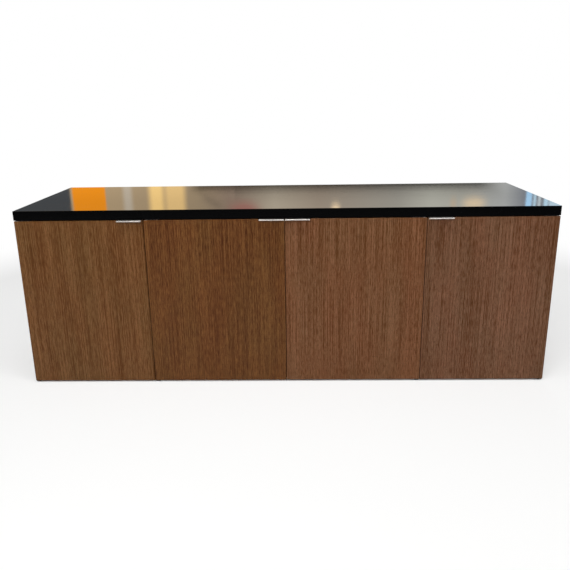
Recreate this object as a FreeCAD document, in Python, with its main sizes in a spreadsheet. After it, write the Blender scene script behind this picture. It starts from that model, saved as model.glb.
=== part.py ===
"""Office credenza: a four-door cabinet with a thick top slab, tab pulls and pivot-hung doors.

The frame is +X to the right, +Y to the back and +Z up, in millimetres.
The origin is on the floor, under the middle of the overall box, which takes in the pulls.
"""
import FreeCAD, Part
import math
import os

import Sketcher

Vector = FreeCAD.Vector
DOC = FreeCAD.newDocument("OfficeCredenza")

# Driving dimensions: alias, value in millimetres (or a count), and what it is.
SIZES = (
    ("width", 1829, "overall width, which is the length of the top slab"),
    ("height", 635, "floor to the top of the slab"),
    ("slab_depth", 508, "front edge to back edge of the top slab"),
    ("slab_thickness", 32, "thickness of the top slab"),
    ("slab_arris", 1.2, "rounding of the upper edges and corners of the slab"),
    ("panel_thickness", 19, "thickness of the carcass panels"),
    ("back_thickness", 6, "thickness of the back panel"),
    ("rabbet_width", 9, "width of the rabbet in an end panel that takes the back panel"),
    ("back_clearance", 0.5, "room at each side of the back panel in its rabbets"),
    ("seam_offset", 476, "centre line of the cabinet to the seam between outer and centre doors"),
    ("door_thickness", 19, "thickness of a door"),
    ("door_arris", 0.5, "chamfer around the front of a door"),
    ("end_reveal", 1, "outer door edge to the end of the slab"),
    ("pivot_inset", 9, "hinge edge of a door to its pivot axis"),
    ("pivot_setback", 6, "front of a door to its pivot axis"),
    ("swing_clearance", 0.5, "least room around the hinge edge of a door as it swings"),
    ("leaf_thickness", 2, "thickness of a hinge leaf"),
    ("leaf_margin", 4.5, "pivot axis to the two nearest edges of a hinge leaf"),
    ("leaf_width", 12.5, "width of a hinge leaf"),
    ("leaf_length", 50, "length of a hinge leaf"),
    ("leaf_corner", 2, "corner radius of a hinge leaf"),
    ("leaf_screw_offset", 16, "pivot axis to the first screw of a hinge leaf"),
    ("leaf_screw_pitch", 20, "first to second screw of a hinge leaf"),
    ("foot_leaf_width", 15, "width of the leaf under the case"),
    ("foot_leaf_tail", 36, "length of that leaf behind the front of the case"),
    ("foot_screw_setback", 10, "front of the case to the first screw of that leaf"),
    ("foot_screw_pitch", 16, "first to second screw of that leaf"),
    ("mortise_clearance", 0.1, "room around a hinge leaf in its mortise"),
    ("washer_thickness", 1, "thickness of a pivot washer"),
    ("washer_radius", 4.2, "outer radius of a pivot washer"),
    ("hinge_play", 0.2, "upright play of a door between its washers"),
    ("pin_radius", 2.5, "radius of a pivot pin"),
    ("pin_running", 0.05, "radial running clearance of a pivot pin in its leaves"),
    ("pin_depth", 8, "depth of a pivot pin below the edge of the door"),
    ("pin_ease", 0.5, "chamfer at the free end of a pivot pin"),
    ("bore_clearance", 0.6, "room around and beyond a pivot pin in the wood of the door"),
    ("opening_angle", 95, "degrees that a door turns before its stop pin ends its slot"),
    ("stop_radius", 5.6, "pivot axis to the stop pin"),
    ("stop_pin_radius", 1.1, "radius of a stop pin"),
    ("stop_running", 0.1, "room of a stop pin across its slot and at its ends"),
    ("stop_floor_gap", 0.5, "stop pin to the floor of the mortise"),
    ("pull_length", 83.5, "length of a tab pull"),
    ("pull_inset", 0.5, "free edge of a door to the end of its pull"),
    ("pull_projection", 18, "front of a door to the front of its pull"),
    ("pull_seat", 15, "depth of the pull on the top edge of the door"),
    ("pull_thickness", 2, "thickness of the pull's plate"),
    ("pull_lip", 1.6, "drop of the front lip below the pull's plate"),
    ("pull_bend", 1.6, "outer bend radius between plate and lip"),
    ("pull_corner", 0.5, "rounding of the pull's front corners"),
    ("pull_screw_spacing", 50, "first to second screw of a pull"),
    ("screw_radius", 1.75, "shank radius of a small countersunk screw"),
    ("screw_head", 1.75, "height of its 90 degree head"),
    ("screw_length", 16, "length of a small screw"),
    ("screw_tip", 2.5, "length of a screw's point"),
    ("slab_screw_radius", 2.25, "shank radius of a screw that holds the slab"),
    ("slab_screw_head", 2.25, "height of its 90 degree head"),
    ("slab_screw_length", 42, "length of a screw that holds the slab"),
    ("slab_screw_inset", 70, "bay side to the screws that hold the slab"),
    ("slab_screw_setback", 60, "front and rear of the sub-top to the screws that hold the slab"),
    ("hole_clearance", 0.1, "radial room of a screw in its hole"),
    ("hole_overrun", 0.5, "depth of a blind hole beyond what goes into it"),
    ("back_screw_count", 6, "screws along the top, and along the bottom, of the back panel"),
    ("back_screw_inset", 100, "inside of an end panel to the first of those screws"),
    ("dowel_radius", 4, "radius of a wooden dowel"),
    ("dowel_in_face", 12, "depth of a dowel in the face of a panel"),
    ("dowel_in_edge", 20, "depth of a dowel in the edge of a panel"),
    ("dowel_clearance", 0.05, "radial glue gap of a dowel"),
    ("dowel_count", 3, "dowels in each corner of the carcass"),
    ("dowel_setback", 70, "front and rear of a panel to the first and last dowel"),
    ("shelf_thickness", 19, "thickness of a shelf"),
    ("shelf_side_clearance", 1, "room between a shelf and each side of its bay"),
    ("shelf_setback", 20, "front of the case to the front of a shelf"),
    ("shelf_rear_clearance", 2, "room between a shelf and the back panel"),
    ("peg_hole_radius", 2.5, "radius of a shelf peg hole"),
    ("peg_hole_depth", 8, "depth of a shelf peg hole"),
    ("peg_hole_pitch", 32, "height from one peg hole to the next"),
    ("peg_hole_count", 5, "peg holes in a row"),
    ("peg_row_setback", 37, "front and rear of a bay to its rows of peg holes"),
    ("peg_running", 0.05, "radial room of a peg in its hole"),
    ("peg_head_radius", 3.5, "radius of a shelf peg's head"),
    ("peg_head_length", 9, "length of a shelf peg's head"),
    ("glide_height", 6, "floor to the underside of the case"),
    ("glide_radius", 8.5, "radius of a levelling glide's foot"),
    ("glide_foot", 3, "thickness of a levelling glide's foot"),
    ("glide_ease", 0.8, "rounding under the foot"),
    ("glide_collar_radius", 5.5, "radius of the collar above the foot"),
    ("glide_stem_radius", 3.9, "radius of the glide's stem"),
    ("glide_stem_length", 14, "length of the stem inside its insert"),
    ("glide_front_setback", 60, "front of the case to the front glides"),
    ("glide_rear_setback", 40, "back of the case to the rear glides"),
    ("insert_radius", 5, "outer radius of a glide's insert"),
    ("insert_bore", 4, "inner radius of a glide's insert"),
    ("insert_length", 15, "length of a glide's insert"),
    ("catch_inset", 30, "free edge of a door to its magnetic catch"),
    ("catch_radius", 5, "radius of a catch's barrel"),
    ("catch_length", 14, "length of a catch's barrel"),
    ("catch_flange_radius", 6.5, "radius of a catch's flange"),
    ("catch_flange", 1.2, "thickness of a catch's flange"),
    ("strike_radius", 6, "radius of a catch's strike plate"),
    ("strike_gap", 0.2, "strike plate to catch flange with the door shut"),
    ("strike_stem_radius", 1.5, "radius of the stem that fixes a strike plate"),
    ("strike_stem_length", 8, "length of that stem"),
    ("bumper_radius", 4, "radius of a door bumper"),
    ("bumper_gap", 0.3, "bumper to door with the door shut"),
    ("bumper_dome", 0.6, "rounding of a bumper's face"),
)

# Worked-out sizes and places: alias, formula, and what it is.
LAYOUT = (
    ("half_width", "Sizes.width / 2", "centre line to the end of the slab"),
    ("front", "(Sizes.pull_projection - Sizes.slab_depth) / 2", "front of the slab and the doors"),
    ("back", "(Sizes.pull_projection + Sizes.slab_depth) / 2", "back of the slab and the case"),
    ("slab_base", "Sizes.height - Sizes.slab_thickness", "underside of the slab"),
    ("case_height", "slab_base - Sizes.glide_height", "height of an end panel"),
    ("pivot_depth", "Sizes.door_thickness - Sizes.pivot_setback", "pivot axis to the back of a door"),
    ("side_gap", "hypot(Sizes.pivot_inset; Sizes.pivot_setback - Sizes.door_arris)"
     " - Sizes.pivot_inset + Sizes.swing_clearance",
     "gap between two doors, which the front corner swings through"),
    ("back_gap", "hypot(Sizes.pivot_inset; pivot_depth) - pivot_depth + Sizes.swing_clearance",
     "gap behind a door, which its rear corner swings through"),
    ("case_front", "front + Sizes.door_thickness + back_gap", "front edges of the carcass"),
    ("case_depth", "back - case_front", "depth of an end panel"),
    ("inner_depth", "case_depth - Sizes.back_thickness", "depth of the carcass inside its back"),
    ("inner_half", "half_width - Sizes.panel_thickness", "centre line to the inside of an end panel"),
    ("floor_top", "Sizes.glide_height + Sizes.panel_thickness", "top of the bottom panel"),
    ("ceiling", "slab_base - Sizes.panel_thickness", "underside of the sub-top panel"),
    ("bay_height", "ceiling - floor_top", "clear height of the bays"),
    ("half_panel", "Sizes.panel_thickness / 2", "half of a panel's thickness"),
    ("outer_bay", "inner_half - Sizes.seam_offset - half_panel", "clear width of an outer bay"),
    ("centre_bay", "2 * (Sizes.seam_offset - half_panel)", "clear width of the centre bay"),
    ("leaf_gap", "Sizes.washer_thickness + Sizes.hinge_play / 2",
     "gap between the two leaves of a hinge"),
    ("door_base", "Sizes.glide_height + leaf_gap", "bottom edge of the doors"),
    ("door_top", "slab_base - Sizes.leaf_thickness - leaf_gap", "top edge of the doors"),
    ("door_height", "door_top - door_base", "height of a door"),
    ("outer_door", "half_width - Sizes.end_reveal - Sizes.seam_offset - side_gap / 2",
     "width of an outer door"),
    ("centre_door", "Sizes.seam_offset - side_gap", "width of a centre door"),
    ("pivot_y", "front + Sizes.pivot_setback", "pivot axes behind the origin"),
    ("outer_pivot", "half_width - Sizes.end_reveal - Sizes.pivot_inset",
     "centre line to the pivot axis of an outer door"),
    ("centre_pivot", "Sizes.seam_offset - side_gap / 2 - Sizes.pivot_inset",
     "centre line to the pivot axis of a centre door"),
    ("outer_catch", "Sizes.seam_offset + side_gap / 2 + Sizes.catch_inset",
     "centre line to the catch of an outer door"),
    ("centre_catch", "side_gap / 2 + Sizes.catch_inset", "centre line to the catch of a centre door"),
    ("catch_height", "slab_base - half_panel", "height of the catches"),
    ("pin_hole", "Sizes.pin_radius + Sizes.pin_running", "radius of a leaf's hole for its pin"),
    ("pin_length", "Sizes.leaf_thickness + leaf_gap + Sizes.pin_depth", "length of a pivot pin"),
    ("stop_half_slot", "Sizes.stop_pin_radius + Sizes.stop_running", "half the width of its slot"),
    ("stop_hole", "Sizes.stop_pin_radius + Sizes.pin_running", "radius of its hole in a leaf"),
    ("stop_length", "2 * Sizes.leaf_thickness + leaf_gap - Sizes.stop_floor_gap",
     "length of a stop pin"),
    ("screw_hole", "Sizes.screw_radius + Sizes.hole_clearance", "radius of a small screw's hole"),
    ("slab_screw_hole", "Sizes.slab_screw_radius + Sizes.hole_clearance",
     "radius of the hole for a screw that holds the slab"),
    ("leaf_pilot", "Sizes.screw_length - Sizes.leaf_thickness + Sizes.hole_overrun",
     "depth of a leaf screw's hole below the leaf"),
    ("leaf_centre", "Sizes.leaf_width / 2 - Sizes.leaf_margin",
     "pivot axis to the row of screws behind it in a leaf"),
    ("strike_thickness", "back_gap - Sizes.catch_flange - Sizes.strike_gap",
     "thickness of a strike plate"),
    ("bumper_height", "back_gap - Sizes.bumper_gap", "height of a bumper"),
    ("dowel_hole", "Sizes.dowel_radius + Sizes.dowel_clearance", "radius of a dowel's hole"),
    ("dowel_face_hole", "Sizes.dowel_in_face + Sizes.hole_overrun", "depth of its hole in a face"),
    ("dowel_edge_hole", "Sizes.dowel_in_edge + Sizes.hole_overrun", "depth of its hole in an edge"),
    ("dowel_pitch", "(inner_depth - 2 * Sizes.dowel_setback) / (Sizes.dowel_count - 1)",
     "one dowel to the next"),
    ("insert_hole", "Sizes.insert_radius + Sizes.dowel_clearance", "radius of an insert's hole"),
    ("glide_front", "Sizes.glide_front_setback", "front glides behind the front of the case"),
    ("glide_rear", "case_depth - Sizes.glide_rear_setback", "rear glides behind that front"),
    ("peg_row_pitch", "inner_depth - 2 * Sizes.peg_row_setback", "front row to rear row of pegs"),
    ("peg_first", "(bay_height - (Sizes.peg_hole_count - 1) * Sizes.peg_hole_pitch) / 2",
     "bottom of a bay to its lowest peg hole"),
    ("peg_middle", "peg_first + floor((Sizes.peg_hole_count - 1) / 2) * Sizes.peg_hole_pitch",
     "bottom of a bay to the pegs that are in use"),
    ("peg_radius", "Sizes.peg_hole_radius - Sizes.peg_running", "radius of a shelf peg's shank"),
    ("shelf_base", "floor_top + peg_middle + Sizes.peg_head_radius", "underside of the shelves"),
    ("shelf_depth", "inner_depth - Sizes.shelf_setback - Sizes.shelf_rear_clearance",
     "depth of a shelf"),
    ("back_screw_pitch", "2 * (inner_half - Sizes.back_screw_inset) / (Sizes.back_screw_count - 1)",
     "one back screw to the next"),
)


def make_sheet(name, rows, lead):
    """A spreadsheet with one aliased cell in column B for each row of the table."""
    sheet = DOC.addObject("Spreadsheet::Sheet", name)
    for row, (alias, content, meaning) in enumerate(rows, start=1):
        sheet.set(f"A{row}", alias)
        sheet.set(f"B{row}", f"{lead}{content}")
        sheet.set(f"C{row}", meaning)
        sheet.setAlias(f"B{row}", alias)
    return sheet


SHEET = make_sheet("Sizes", SIZES, "")
make_sheet("Layout", LAYOUT, "=")
DOC.recompute()


def size(expression):
    """The present value of an expression over the sheets."""
    return float(SHEET.evalExpression(expression))


def place(piece, x, y, z, path="Placement"):
    """Bind a piece's place to three expressions."""
    for axis, expression in zip("xyz", (x, y, z)):
        piece.setExpression(f".{path}.Base.{axis}", expression)


def make_body(label, x="0", y="0", z="0"):
    """An empty PartDesign body at a place."""
    piece = DOC.addObject("PartDesign::Body", label)
    piece.Label = label
    place(piece, x, y, z)
    return piece


def origin_feature(piece, role):
    """One of a body's own origin planes or axes."""
    return next(item for item in piece.Origin.OriginFeatures if item.Role == role)


def make_sketch(piece, plane, lift="0"):
    """A sketch on one of the body's origin planes, lifted along that plane's normal."""
    sketch = piece.newObject("Sketcher::SketchObject", f"{piece.Label}_sketch")
    sketch.AttachmentSupport = [(origin_feature(piece, plane), "")]
    sketch.MapMode = "FlatFace"
    sketch.setExpression(".AttachmentOffset.Base.z", lift)
    return sketch


def locate(sketch, geometry, point, u, v):
    """Hold a point of the sketch at two expressions; "0" puts it on the sketch's own axis."""
    for kind, expression, axis in (("DistanceX", u, -2), ("DistanceY", v, -1)):
        if expression == "0":
            sketch.addConstraint(Sketcher.Constraint("PointOnObject", geometry, point, axis))
            continue
        rule = Sketcher.Constraint(kind, -1, 1, geometry, point, size(expression))
        index = sketch.addConstraint(rule)
        sketch.setExpression(f"Constraints[{index}]", expression)


def draw_polygon(sketch, corners):
    """A closed outline of straight lines through corners, each given by two expressions."""
    points = [Vector(size(u), size(v), 0) for u, v in corners]
    following = points[1:] + points[:1]
    lines = [Part.LineSegment(start, end) for start, end in zip(points, following)]
    sketch.addGeometry(lines, False)
    for index, (u, v) in enumerate(corners):
        after = (index + 1) % len(corners)
        sketch.addConstraint(Sketcher.Constraint("Coincident", index, 2, after, 1))
        locate(sketch, index, 1, u, v)


def draw_rectangle(sketch, left, bottom, right, top):
    """A rectangle between two corners."""
    draw_polygon(sketch, ((left, bottom), (right, bottom), (right, top), (left, top)))


def draw_circle(sketch, u, v, radius):
    """A circle about a point given by two expressions."""
    centre = Vector(size(u), size(v), 0)
    circle = sketch.addGeometry(Part.Circle(centre, Vector(0, 0, 1), size(radius)), False)
    index = sketch.addConstraint(Sketcher.Constraint("Radius", circle, size(radius)))
    sketch.setExpression(f"Constraints[{index}]", radius)
    locate(sketch, circle, 3, u, v)


def pad(piece, sketch, length):
    """Extrude a sketch along its normal."""
    feature = piece.newObject("PartDesign::Pad", f"{piece.Label}_pad")
    feature.Profile = sketch
    feature.setExpression("Length", length)
    DOC.recompute()
    return feature


def pocket(piece, sketch, depth, along_normal=False):
    """Cut a sketch into the piece, against its normal unless told otherwise."""
    feature = piece.newObject("PartDesign::Pocket", f"{piece.Label}_pocket")
    feature.Profile = sketch
    feature.Reversed = along_normal
    feature.setExpression("Length", depth)
    return feature


def repeat(piece, feature, axis, count, pitch):
    """Repeat a feature along one of the body's axes."""
    pattern = piece.newObject("PartDesign::LinearPattern", f"{piece.Label}_pattern")
    pattern.Originals = [feature]
    pattern.Direction = (origin_feature(piece, axis), [""])
    pattern.Mode = "Spacing"
    pattern.setExpression("Occurrences", count)
    pattern.setExpression("Offset", pitch)
    piece.Tip = pattern
    DOC.recompute()
    return pattern


def drill(piece, plane, lift, centres, radius, depth, along_normal=False, run=None):
    """Round blind holes at centres on a plane; a run repeats them: axis, count and pitch."""
    sketch = make_sketch(piece, plane, lift)
    for u, v in centres:
        draw_circle(sketch, u, v, radius)
    feature = pocket(piece, sketch, depth, along_normal)
    DOC.recompute()
    return repeat(piece, feature, *run) if run else feature


def dress_edges(piece, kind, feature, wanted, amount):
    """A fillet or chamfer on those edges of a feature that the test picks."""
    edges = feature.Shape.Edges
    names = [f"Edge{number}" for number, edge in enumerate(edges, start=1) if wanted(edge)]
    dressing = piece.newObject(f"PartDesign::{kind}", f"{piece.Label}_{kind.lower()}")
    dressing.Base = (feature, names)
    dressing.setExpression("Radius" if kind == "Fillet" else "Size", amount)
    piece.Tip = dressing
    DOC.recompute()
    return dressing


def lies_at(edge, axis, height):
    """Whether the whole edge lies at one height along an axis."""
    box = edge.BoundBox
    low, high = {"x": (box.XMin, box.XMax), "y": (box.YMin, box.YMax), "z": (box.ZMin, box.ZMax)}[axis]
    return abs(low - height) < 1e-4 and abs(high - height) < 1e-4


def is_upright(edge):
    """Whether the edge is a straight line along Z."""
    straight = isinstance(edge.Curve, Part.Line)
    return straight and abs(abs(edge.Curve.Direction.z) - 1) < 1e-6


def countersink(piece, feature, face_height, radius, head_height):
    """Chamfer the mouths of the screw holes that open on a level face."""
    def is_mouth(edge):
        is_round = isinstance(edge.Curve, Part.Circle) and abs(edge.Curve.Radius - size(radius)) < 1e-4
        return is_round and lies_at(edge, "z", size(face_height))
    return dress_edges(piece, "Chamfer", feature, is_mouth, head_height)


def board(label, x, y, z, width, depth, height):
    """A rectangular panel with its lower left front corner at a place."""
    piece = make_body(label, x, y, z)
    sketch = make_sketch(piece, "XY_Plane")
    draw_rectangle(sketch, "0", "0", width, depth)
    return piece, pad(piece, sketch, height)


def turned(label, profile):
    """A piece turned about Z from an outline of radius and height."""
    piece = make_body(label)
    sketch = make_sketch(piece, "XZ_Plane")
    draw_polygon(sketch, profile)
    feature = piece.newObject("PartDesign::Revolution", f"{label}_turning")
    feature.Profile = sketch
    feature.ReferenceAxis = (origin_feature(piece, "Z_Axis"), [""])
    feature.Angle = 360
    DOC.recompute()
    return piece


def copy_of(master, x, y, z, turn_axis=Vector(0, 0, 1), angle=0):
    """A further copy of a repeated piece, turned and then put at a place."""
    link = DOC.addObject("App::Link", f"{master.Label}_copy")
    link.LinkedObject = master
    link.LinkPlacement = FreeCAD.Placement(Vector(), FreeCAD.Rotation(turn_axis, angle))
    place(link, x, y, z, "LinkPlacement")
    return link


def group(label, members):
    """Separate identical pieces that share one node."""
    compound = DOC.addObject("Part::Compound", label)
    compound.Label = label
    compound.Links = members
    return compound


def mirrored(distance):
    """The same distance left and right of the centre line."""
    return (f"-({distance})", distance)


TURN_X = Vector(1, 0, 0)
TURN_Y = Vector(0, 1, 0)

# The doors: name, side the hinge is on (1 left, -1 right), left edge, width, pivot.
DOORS = (
    ("outer_left", 1, "Sizes.end_reveal - Layout.half_width", "Layout.outer_door",
     "-Layout.outer_pivot"),
    ("centre_left", 1, "Layout.side_gap / 2 - Sizes.seam_offset", "Layout.centre_door",
     "-Layout.centre_pivot"),
    ("centre_right", -1, "Layout.side_gap / 2", "Layout.centre_door", "Layout.centre_pivot"),
    ("outer_right", -1, "Sizes.seam_offset + Layout.side_gap / 2", "Layout.outer_door",
     "Layout.outer_pivot"),
)


def make_slab():
    """The thick top slab, with blind holes below for the screws that hold it and the leaves."""
    piece, blank = board("top_slab", "-Layout.half_width", "Layout.front", "Layout.slab_base",
                         "Sizes.width", "Sizes.slab_depth", "Sizes.slab_thickness")
    top = size("Sizes.slab_thickness")
    dress_edges(piece, "Fillet", blank, lambda edge: is_upright(edge) or lies_at(edge, "z", top),
                "Sizes.slab_arris")
    leaf_row = "Sizes.pivot_setback + Layout.leaf_centre"
    leaf_holes = []
    for _, hand, _, _, pivot in DOORS:
        first = f"Layout.half_width + {pivot} + {hand} * Sizes.leaf_screw_offset"
        leaf_holes.append((first, leaf_row))
        leaf_holes.append((f"{first} + {hand} * Sizes.leaf_screw_pitch", leaf_row))
    drill(piece, "XY_Plane", "0", leaf_holes, "Layout.screw_hole", "Layout.leaf_pilot", True)
    setback = "Layout.case_front - Layout.front + Sizes.slab_screw_setback"
    centres = [(f"Layout.half_width + {x}", setback) for x in slab_screw_places()]
    depth = "Sizes.slab_screw_length - Sizes.panel_thickness + Sizes.hole_overrun"
    drill(piece, "XY_Plane", "0", centres, "Layout.slab_screw_hole", depth, True,
          ("Y_Axis", "2", slab_screw_pitch()))
    return piece


def slab_screw_places():
    """The screws that hold the slab stand in from both sides of each bay."""
    outer = "Layout.inner_half - Sizes.slab_screw_inset"
    middle = "Sizes.seam_offset - Layout.half_panel - Sizes.slab_screw_inset"
    beside = "Sizes.seam_offset + Layout.half_panel + Sizes.slab_screw_inset"
    return [x for distance in (outer, middle, beside) for x in mirrored(distance)]


def slab_screw_pitch():
    """Front row to rear row of the screws that hold the slab."""
    return "Layout.inner_depth - 2 * Sizes.slab_screw_setback"


def drill_pegs(piece, base, lift, along_normal):
    """The two rows of shelf peg holes in one side of a bay."""
    lowest = f"{base} + Layout.peg_first"
    rows = ("Sizes.peg_row_setback", "Layout.inner_depth - Sizes.peg_row_setback")
    drill(piece, "YZ_Plane", lift, [(row, lowest) for row in rows],
          "Sizes.peg_hole_radius", "Sizes.peg_hole_depth", along_normal,
          ("Z_Axis", "Sizes.peg_hole_count", "Sizes.peg_hole_pitch"))


def make_end_panel(label, hand):
    """An end panel: rabbet for the back, dowel and peg holes inside, glide and leaf holes below."""
    left = "-Layout.half_width" if hand > 0 else "Layout.inner_half"
    piece, _ = board(label, left, "Layout.case_front", "Sizes.glide_height",
                     "Sizes.panel_thickness", "Layout.case_depth", "Layout.case_height")
    inside = "Sizes.panel_thickness" if hand > 0 else "0"
    inward = hand < 0
    rabbet = make_sketch(piece, "XY_Plane")
    edge = f"{inside} - ({hand}) * Sizes.rabbet_width"
    sides = (edge, inside) if hand > 0 else (inside, edge)
    draw_rectangle(rabbet, sides[0], "Layout.inner_depth", sides[1], "Layout.case_depth")
    pocket(piece, rabbet, "Layout.case_height", True)
    levels = ("Layout.half_panel", "Layout.case_height - Layout.half_panel")
    drill(piece, "YZ_Plane", inside, [("Sizes.dowel_setback", level) for level in levels],
          "Layout.dowel_hole", "Layout.dowel_face_hole", inward,
          ("Y_Axis", "Sizes.dowel_count", "Layout.dowel_pitch"))
    drill_pegs(piece, "Sizes.panel_thickness", inside, inward)
    drill(piece, "XY_Plane", "0", [("Layout.half_panel", "Layout.glide_front")],
          "Layout.insert_hole", "Sizes.insert_length", True,
          ("Y_Axis", "2", "Layout.glide_rear - Layout.glide_front"))
    pivot = "(Sizes.end_reveal + Sizes.pivot_inset)"
    across = pivot if hand > 0 else f"Sizes.panel_thickness - {pivot}"
    drill(piece, "XY_Plane", "0", [(across, "Sizes.foot_screw_setback")], "Layout.screw_hole",
          "Layout.leaf_pilot", True, ("Y_Axis", "2", "Sizes.foot_screw_pitch"))
    return piece


def make_partition(label, side):
    """A partition with peg holes in both faces and dowel holes in both ends."""
    piece, _ = board(label, f"{side} * Sizes.seam_offset - Layout.half_panel", "Layout.case_front",
                     "Layout.floor_top", "Sizes.panel_thickness", "Layout.inner_depth",
                     "Layout.bay_height")
    drill_pegs(piece, "0", "0", True)
    drill_pegs(piece, "0", "Sizes.panel_thickness", False)
    for lift, upwards in (("0", True), ("Layout.bay_height", False)):
        drill(piece, "XY_Plane", lift, [("Layout.half_panel", "Sizes.dowel_setback")],
              "Layout.dowel_hole", "Layout.dowel_edge_hole", upwards,
              ("Y_Axis", "Sizes.dowel_count", "Layout.dowel_pitch"))
    return piece


def make_level_panel(label, height, dowel_lift, dowels_upwards):
    """The bottom or sub-top panel: dowel holes at its ends and at the partitions."""
    piece, _ = board(label, "-Layout.inner_half", "Layout.case_front", height,
                     "2 * Layout.inner_half", "Layout.inner_depth", "Sizes.panel_thickness")
    row = ("Y_Axis", "Sizes.dowel_count", "Layout.dowel_pitch")
    for lift, rightwards in (("0", True), ("2 * Layout.inner_half", False)):
        drill(piece, "YZ_Plane", lift, [("Sizes.dowel_setback", "Layout.half_panel")],
              "Layout.dowel_hole", "Layout.dowel_edge_hole", rightwards, row)
    drill(piece, "XY_Plane", dowel_lift,
          [(f"Layout.inner_half + {x}", "Sizes.dowel_setback") for x in mirrored("Sizes.seam_offset")],
          "Layout.dowel_hole", "Layout.dowel_face_hole", dowels_upwards, row)
    depth = "Sizes.screw_length - Sizes.back_thickness + Sizes.hole_overrun"
    drill(piece, "XZ_Plane", "-Layout.inner_depth", [("Sizes.back_screw_inset", "Layout.half_panel")],
          "Layout.screw_hole", depth, True,
          ("X_Axis", "Sizes.back_screw_count", "Layout.back_screw_pitch"))
    return piece


def make_bottom_panel():
    """The bottom panel, with glide and hinge leaf holes in its underside."""
    piece = make_level_panel("bottom_panel", "Sizes.glide_height", "Sizes.panel_thickness", False)
    drill(piece, "XY_Plane", "0",
          [(f"Layout.inner_half + {x}", "Layout.glide_front") for x in mirrored("Sizes.seam_offset")],
          "Layout.insert_hole", "Sizes.insert_length", True,
          ("Y_Axis", "2", "Layout.glide_rear - Layout.glide_front"))
    pivots = [(f"Layout.inner_half + {x}", "Sizes.foot_screw_setback")
              for x in mirrored("Layout.centre_pivot")]
    drill(piece, "XY_Plane", "0", pivots, "Layout.screw_hole", "Layout.leaf_pilot", True,
          ("Y_Axis", "2", "Sizes.foot_screw_pitch"))
    return piece


def make_sub_top_panel():
    """The sub-top panel, with through holes for the slab's screws and bores for the catches."""
    piece = make_level_panel("sub_top_panel", "Layout.ceiling", "0", True)
    centres = [(f"Layout.inner_half + {x}", "Sizes.slab_screw_setback") for x in slab_screw_places()]
    through = drill(piece, "XY_Plane", "0", centres, "Layout.slab_screw_hole",
                    "Sizes.panel_thickness", True, ("Y_Axis", "2", slab_screw_pitch()))
    countersink(piece, through, "0", "Layout.slab_screw_hole", "Sizes.slab_screw_head")
    catches = [(f"Layout.inner_half + {x}", "Layout.half_panel")
               for distance in ("Layout.outer_catch", "Layout.centre_catch")
               for x in mirrored(distance)]
    drill(piece, "XZ_Plane", "0", catches, "Sizes.catch_radius + Sizes.hole_clearance",
          "Sizes.catch_length + Sizes.hole_overrun")
    return piece


def make_back_panel():
    """The back panel, let into the rabbets and screwed to the bottom and sub-top panels."""
    side = "(Layout.inner_half + Sizes.rabbet_width - Sizes.back_clearance)"
    piece = make_body("back_panel", f"-{side}", "Layout.back", "Sizes.glide_height")
    outline = make_sketch(piece, "XZ_Plane")
    draw_rectangle(outline, "0", "0", f"2 * {side}", "Layout.case_height")
    pad(piece, outline, "Sizes.back_thickness")
    inset = "Sizes.rabbet_width - Sizes.back_clearance + Sizes.back_screw_inset"
    levels = ("Layout.half_panel", "Layout.case_height - Layout.half_panel")
    holes = drill(piece, "XZ_Plane", "0", [(inset, level) for level in levels],
                  "Layout.screw_hole", "Sizes.back_thickness", True,
                  ("X_Axis", "Sizes.back_screw_count", "Layout.back_screw_pitch"))

    def is_mouth(edge):
        is_round = isinstance(edge.Curve, Part.Circle)
        return is_round and lies_at(edge, "y", 0)
    dress_edges(piece, "Chamfer", holes, is_mouth, "Sizes.screw_head")
    return piece


def make_shelf(label, bay_left, bay_width):
    """A loose shelf, a little narrower than its bay."""
    piece, _ = board(label, f"{bay_left} + Sizes.shelf_side_clearance",
                     "Layout.case_front + Sizes.shelf_setback", "Layout.shelf_base",
                     f"{bay_width} - 2 * Sizes.shelf_side_clearance", "Layout.shelf_depth",
                     "Sizes.shelf_thickness")
    return piece


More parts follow.
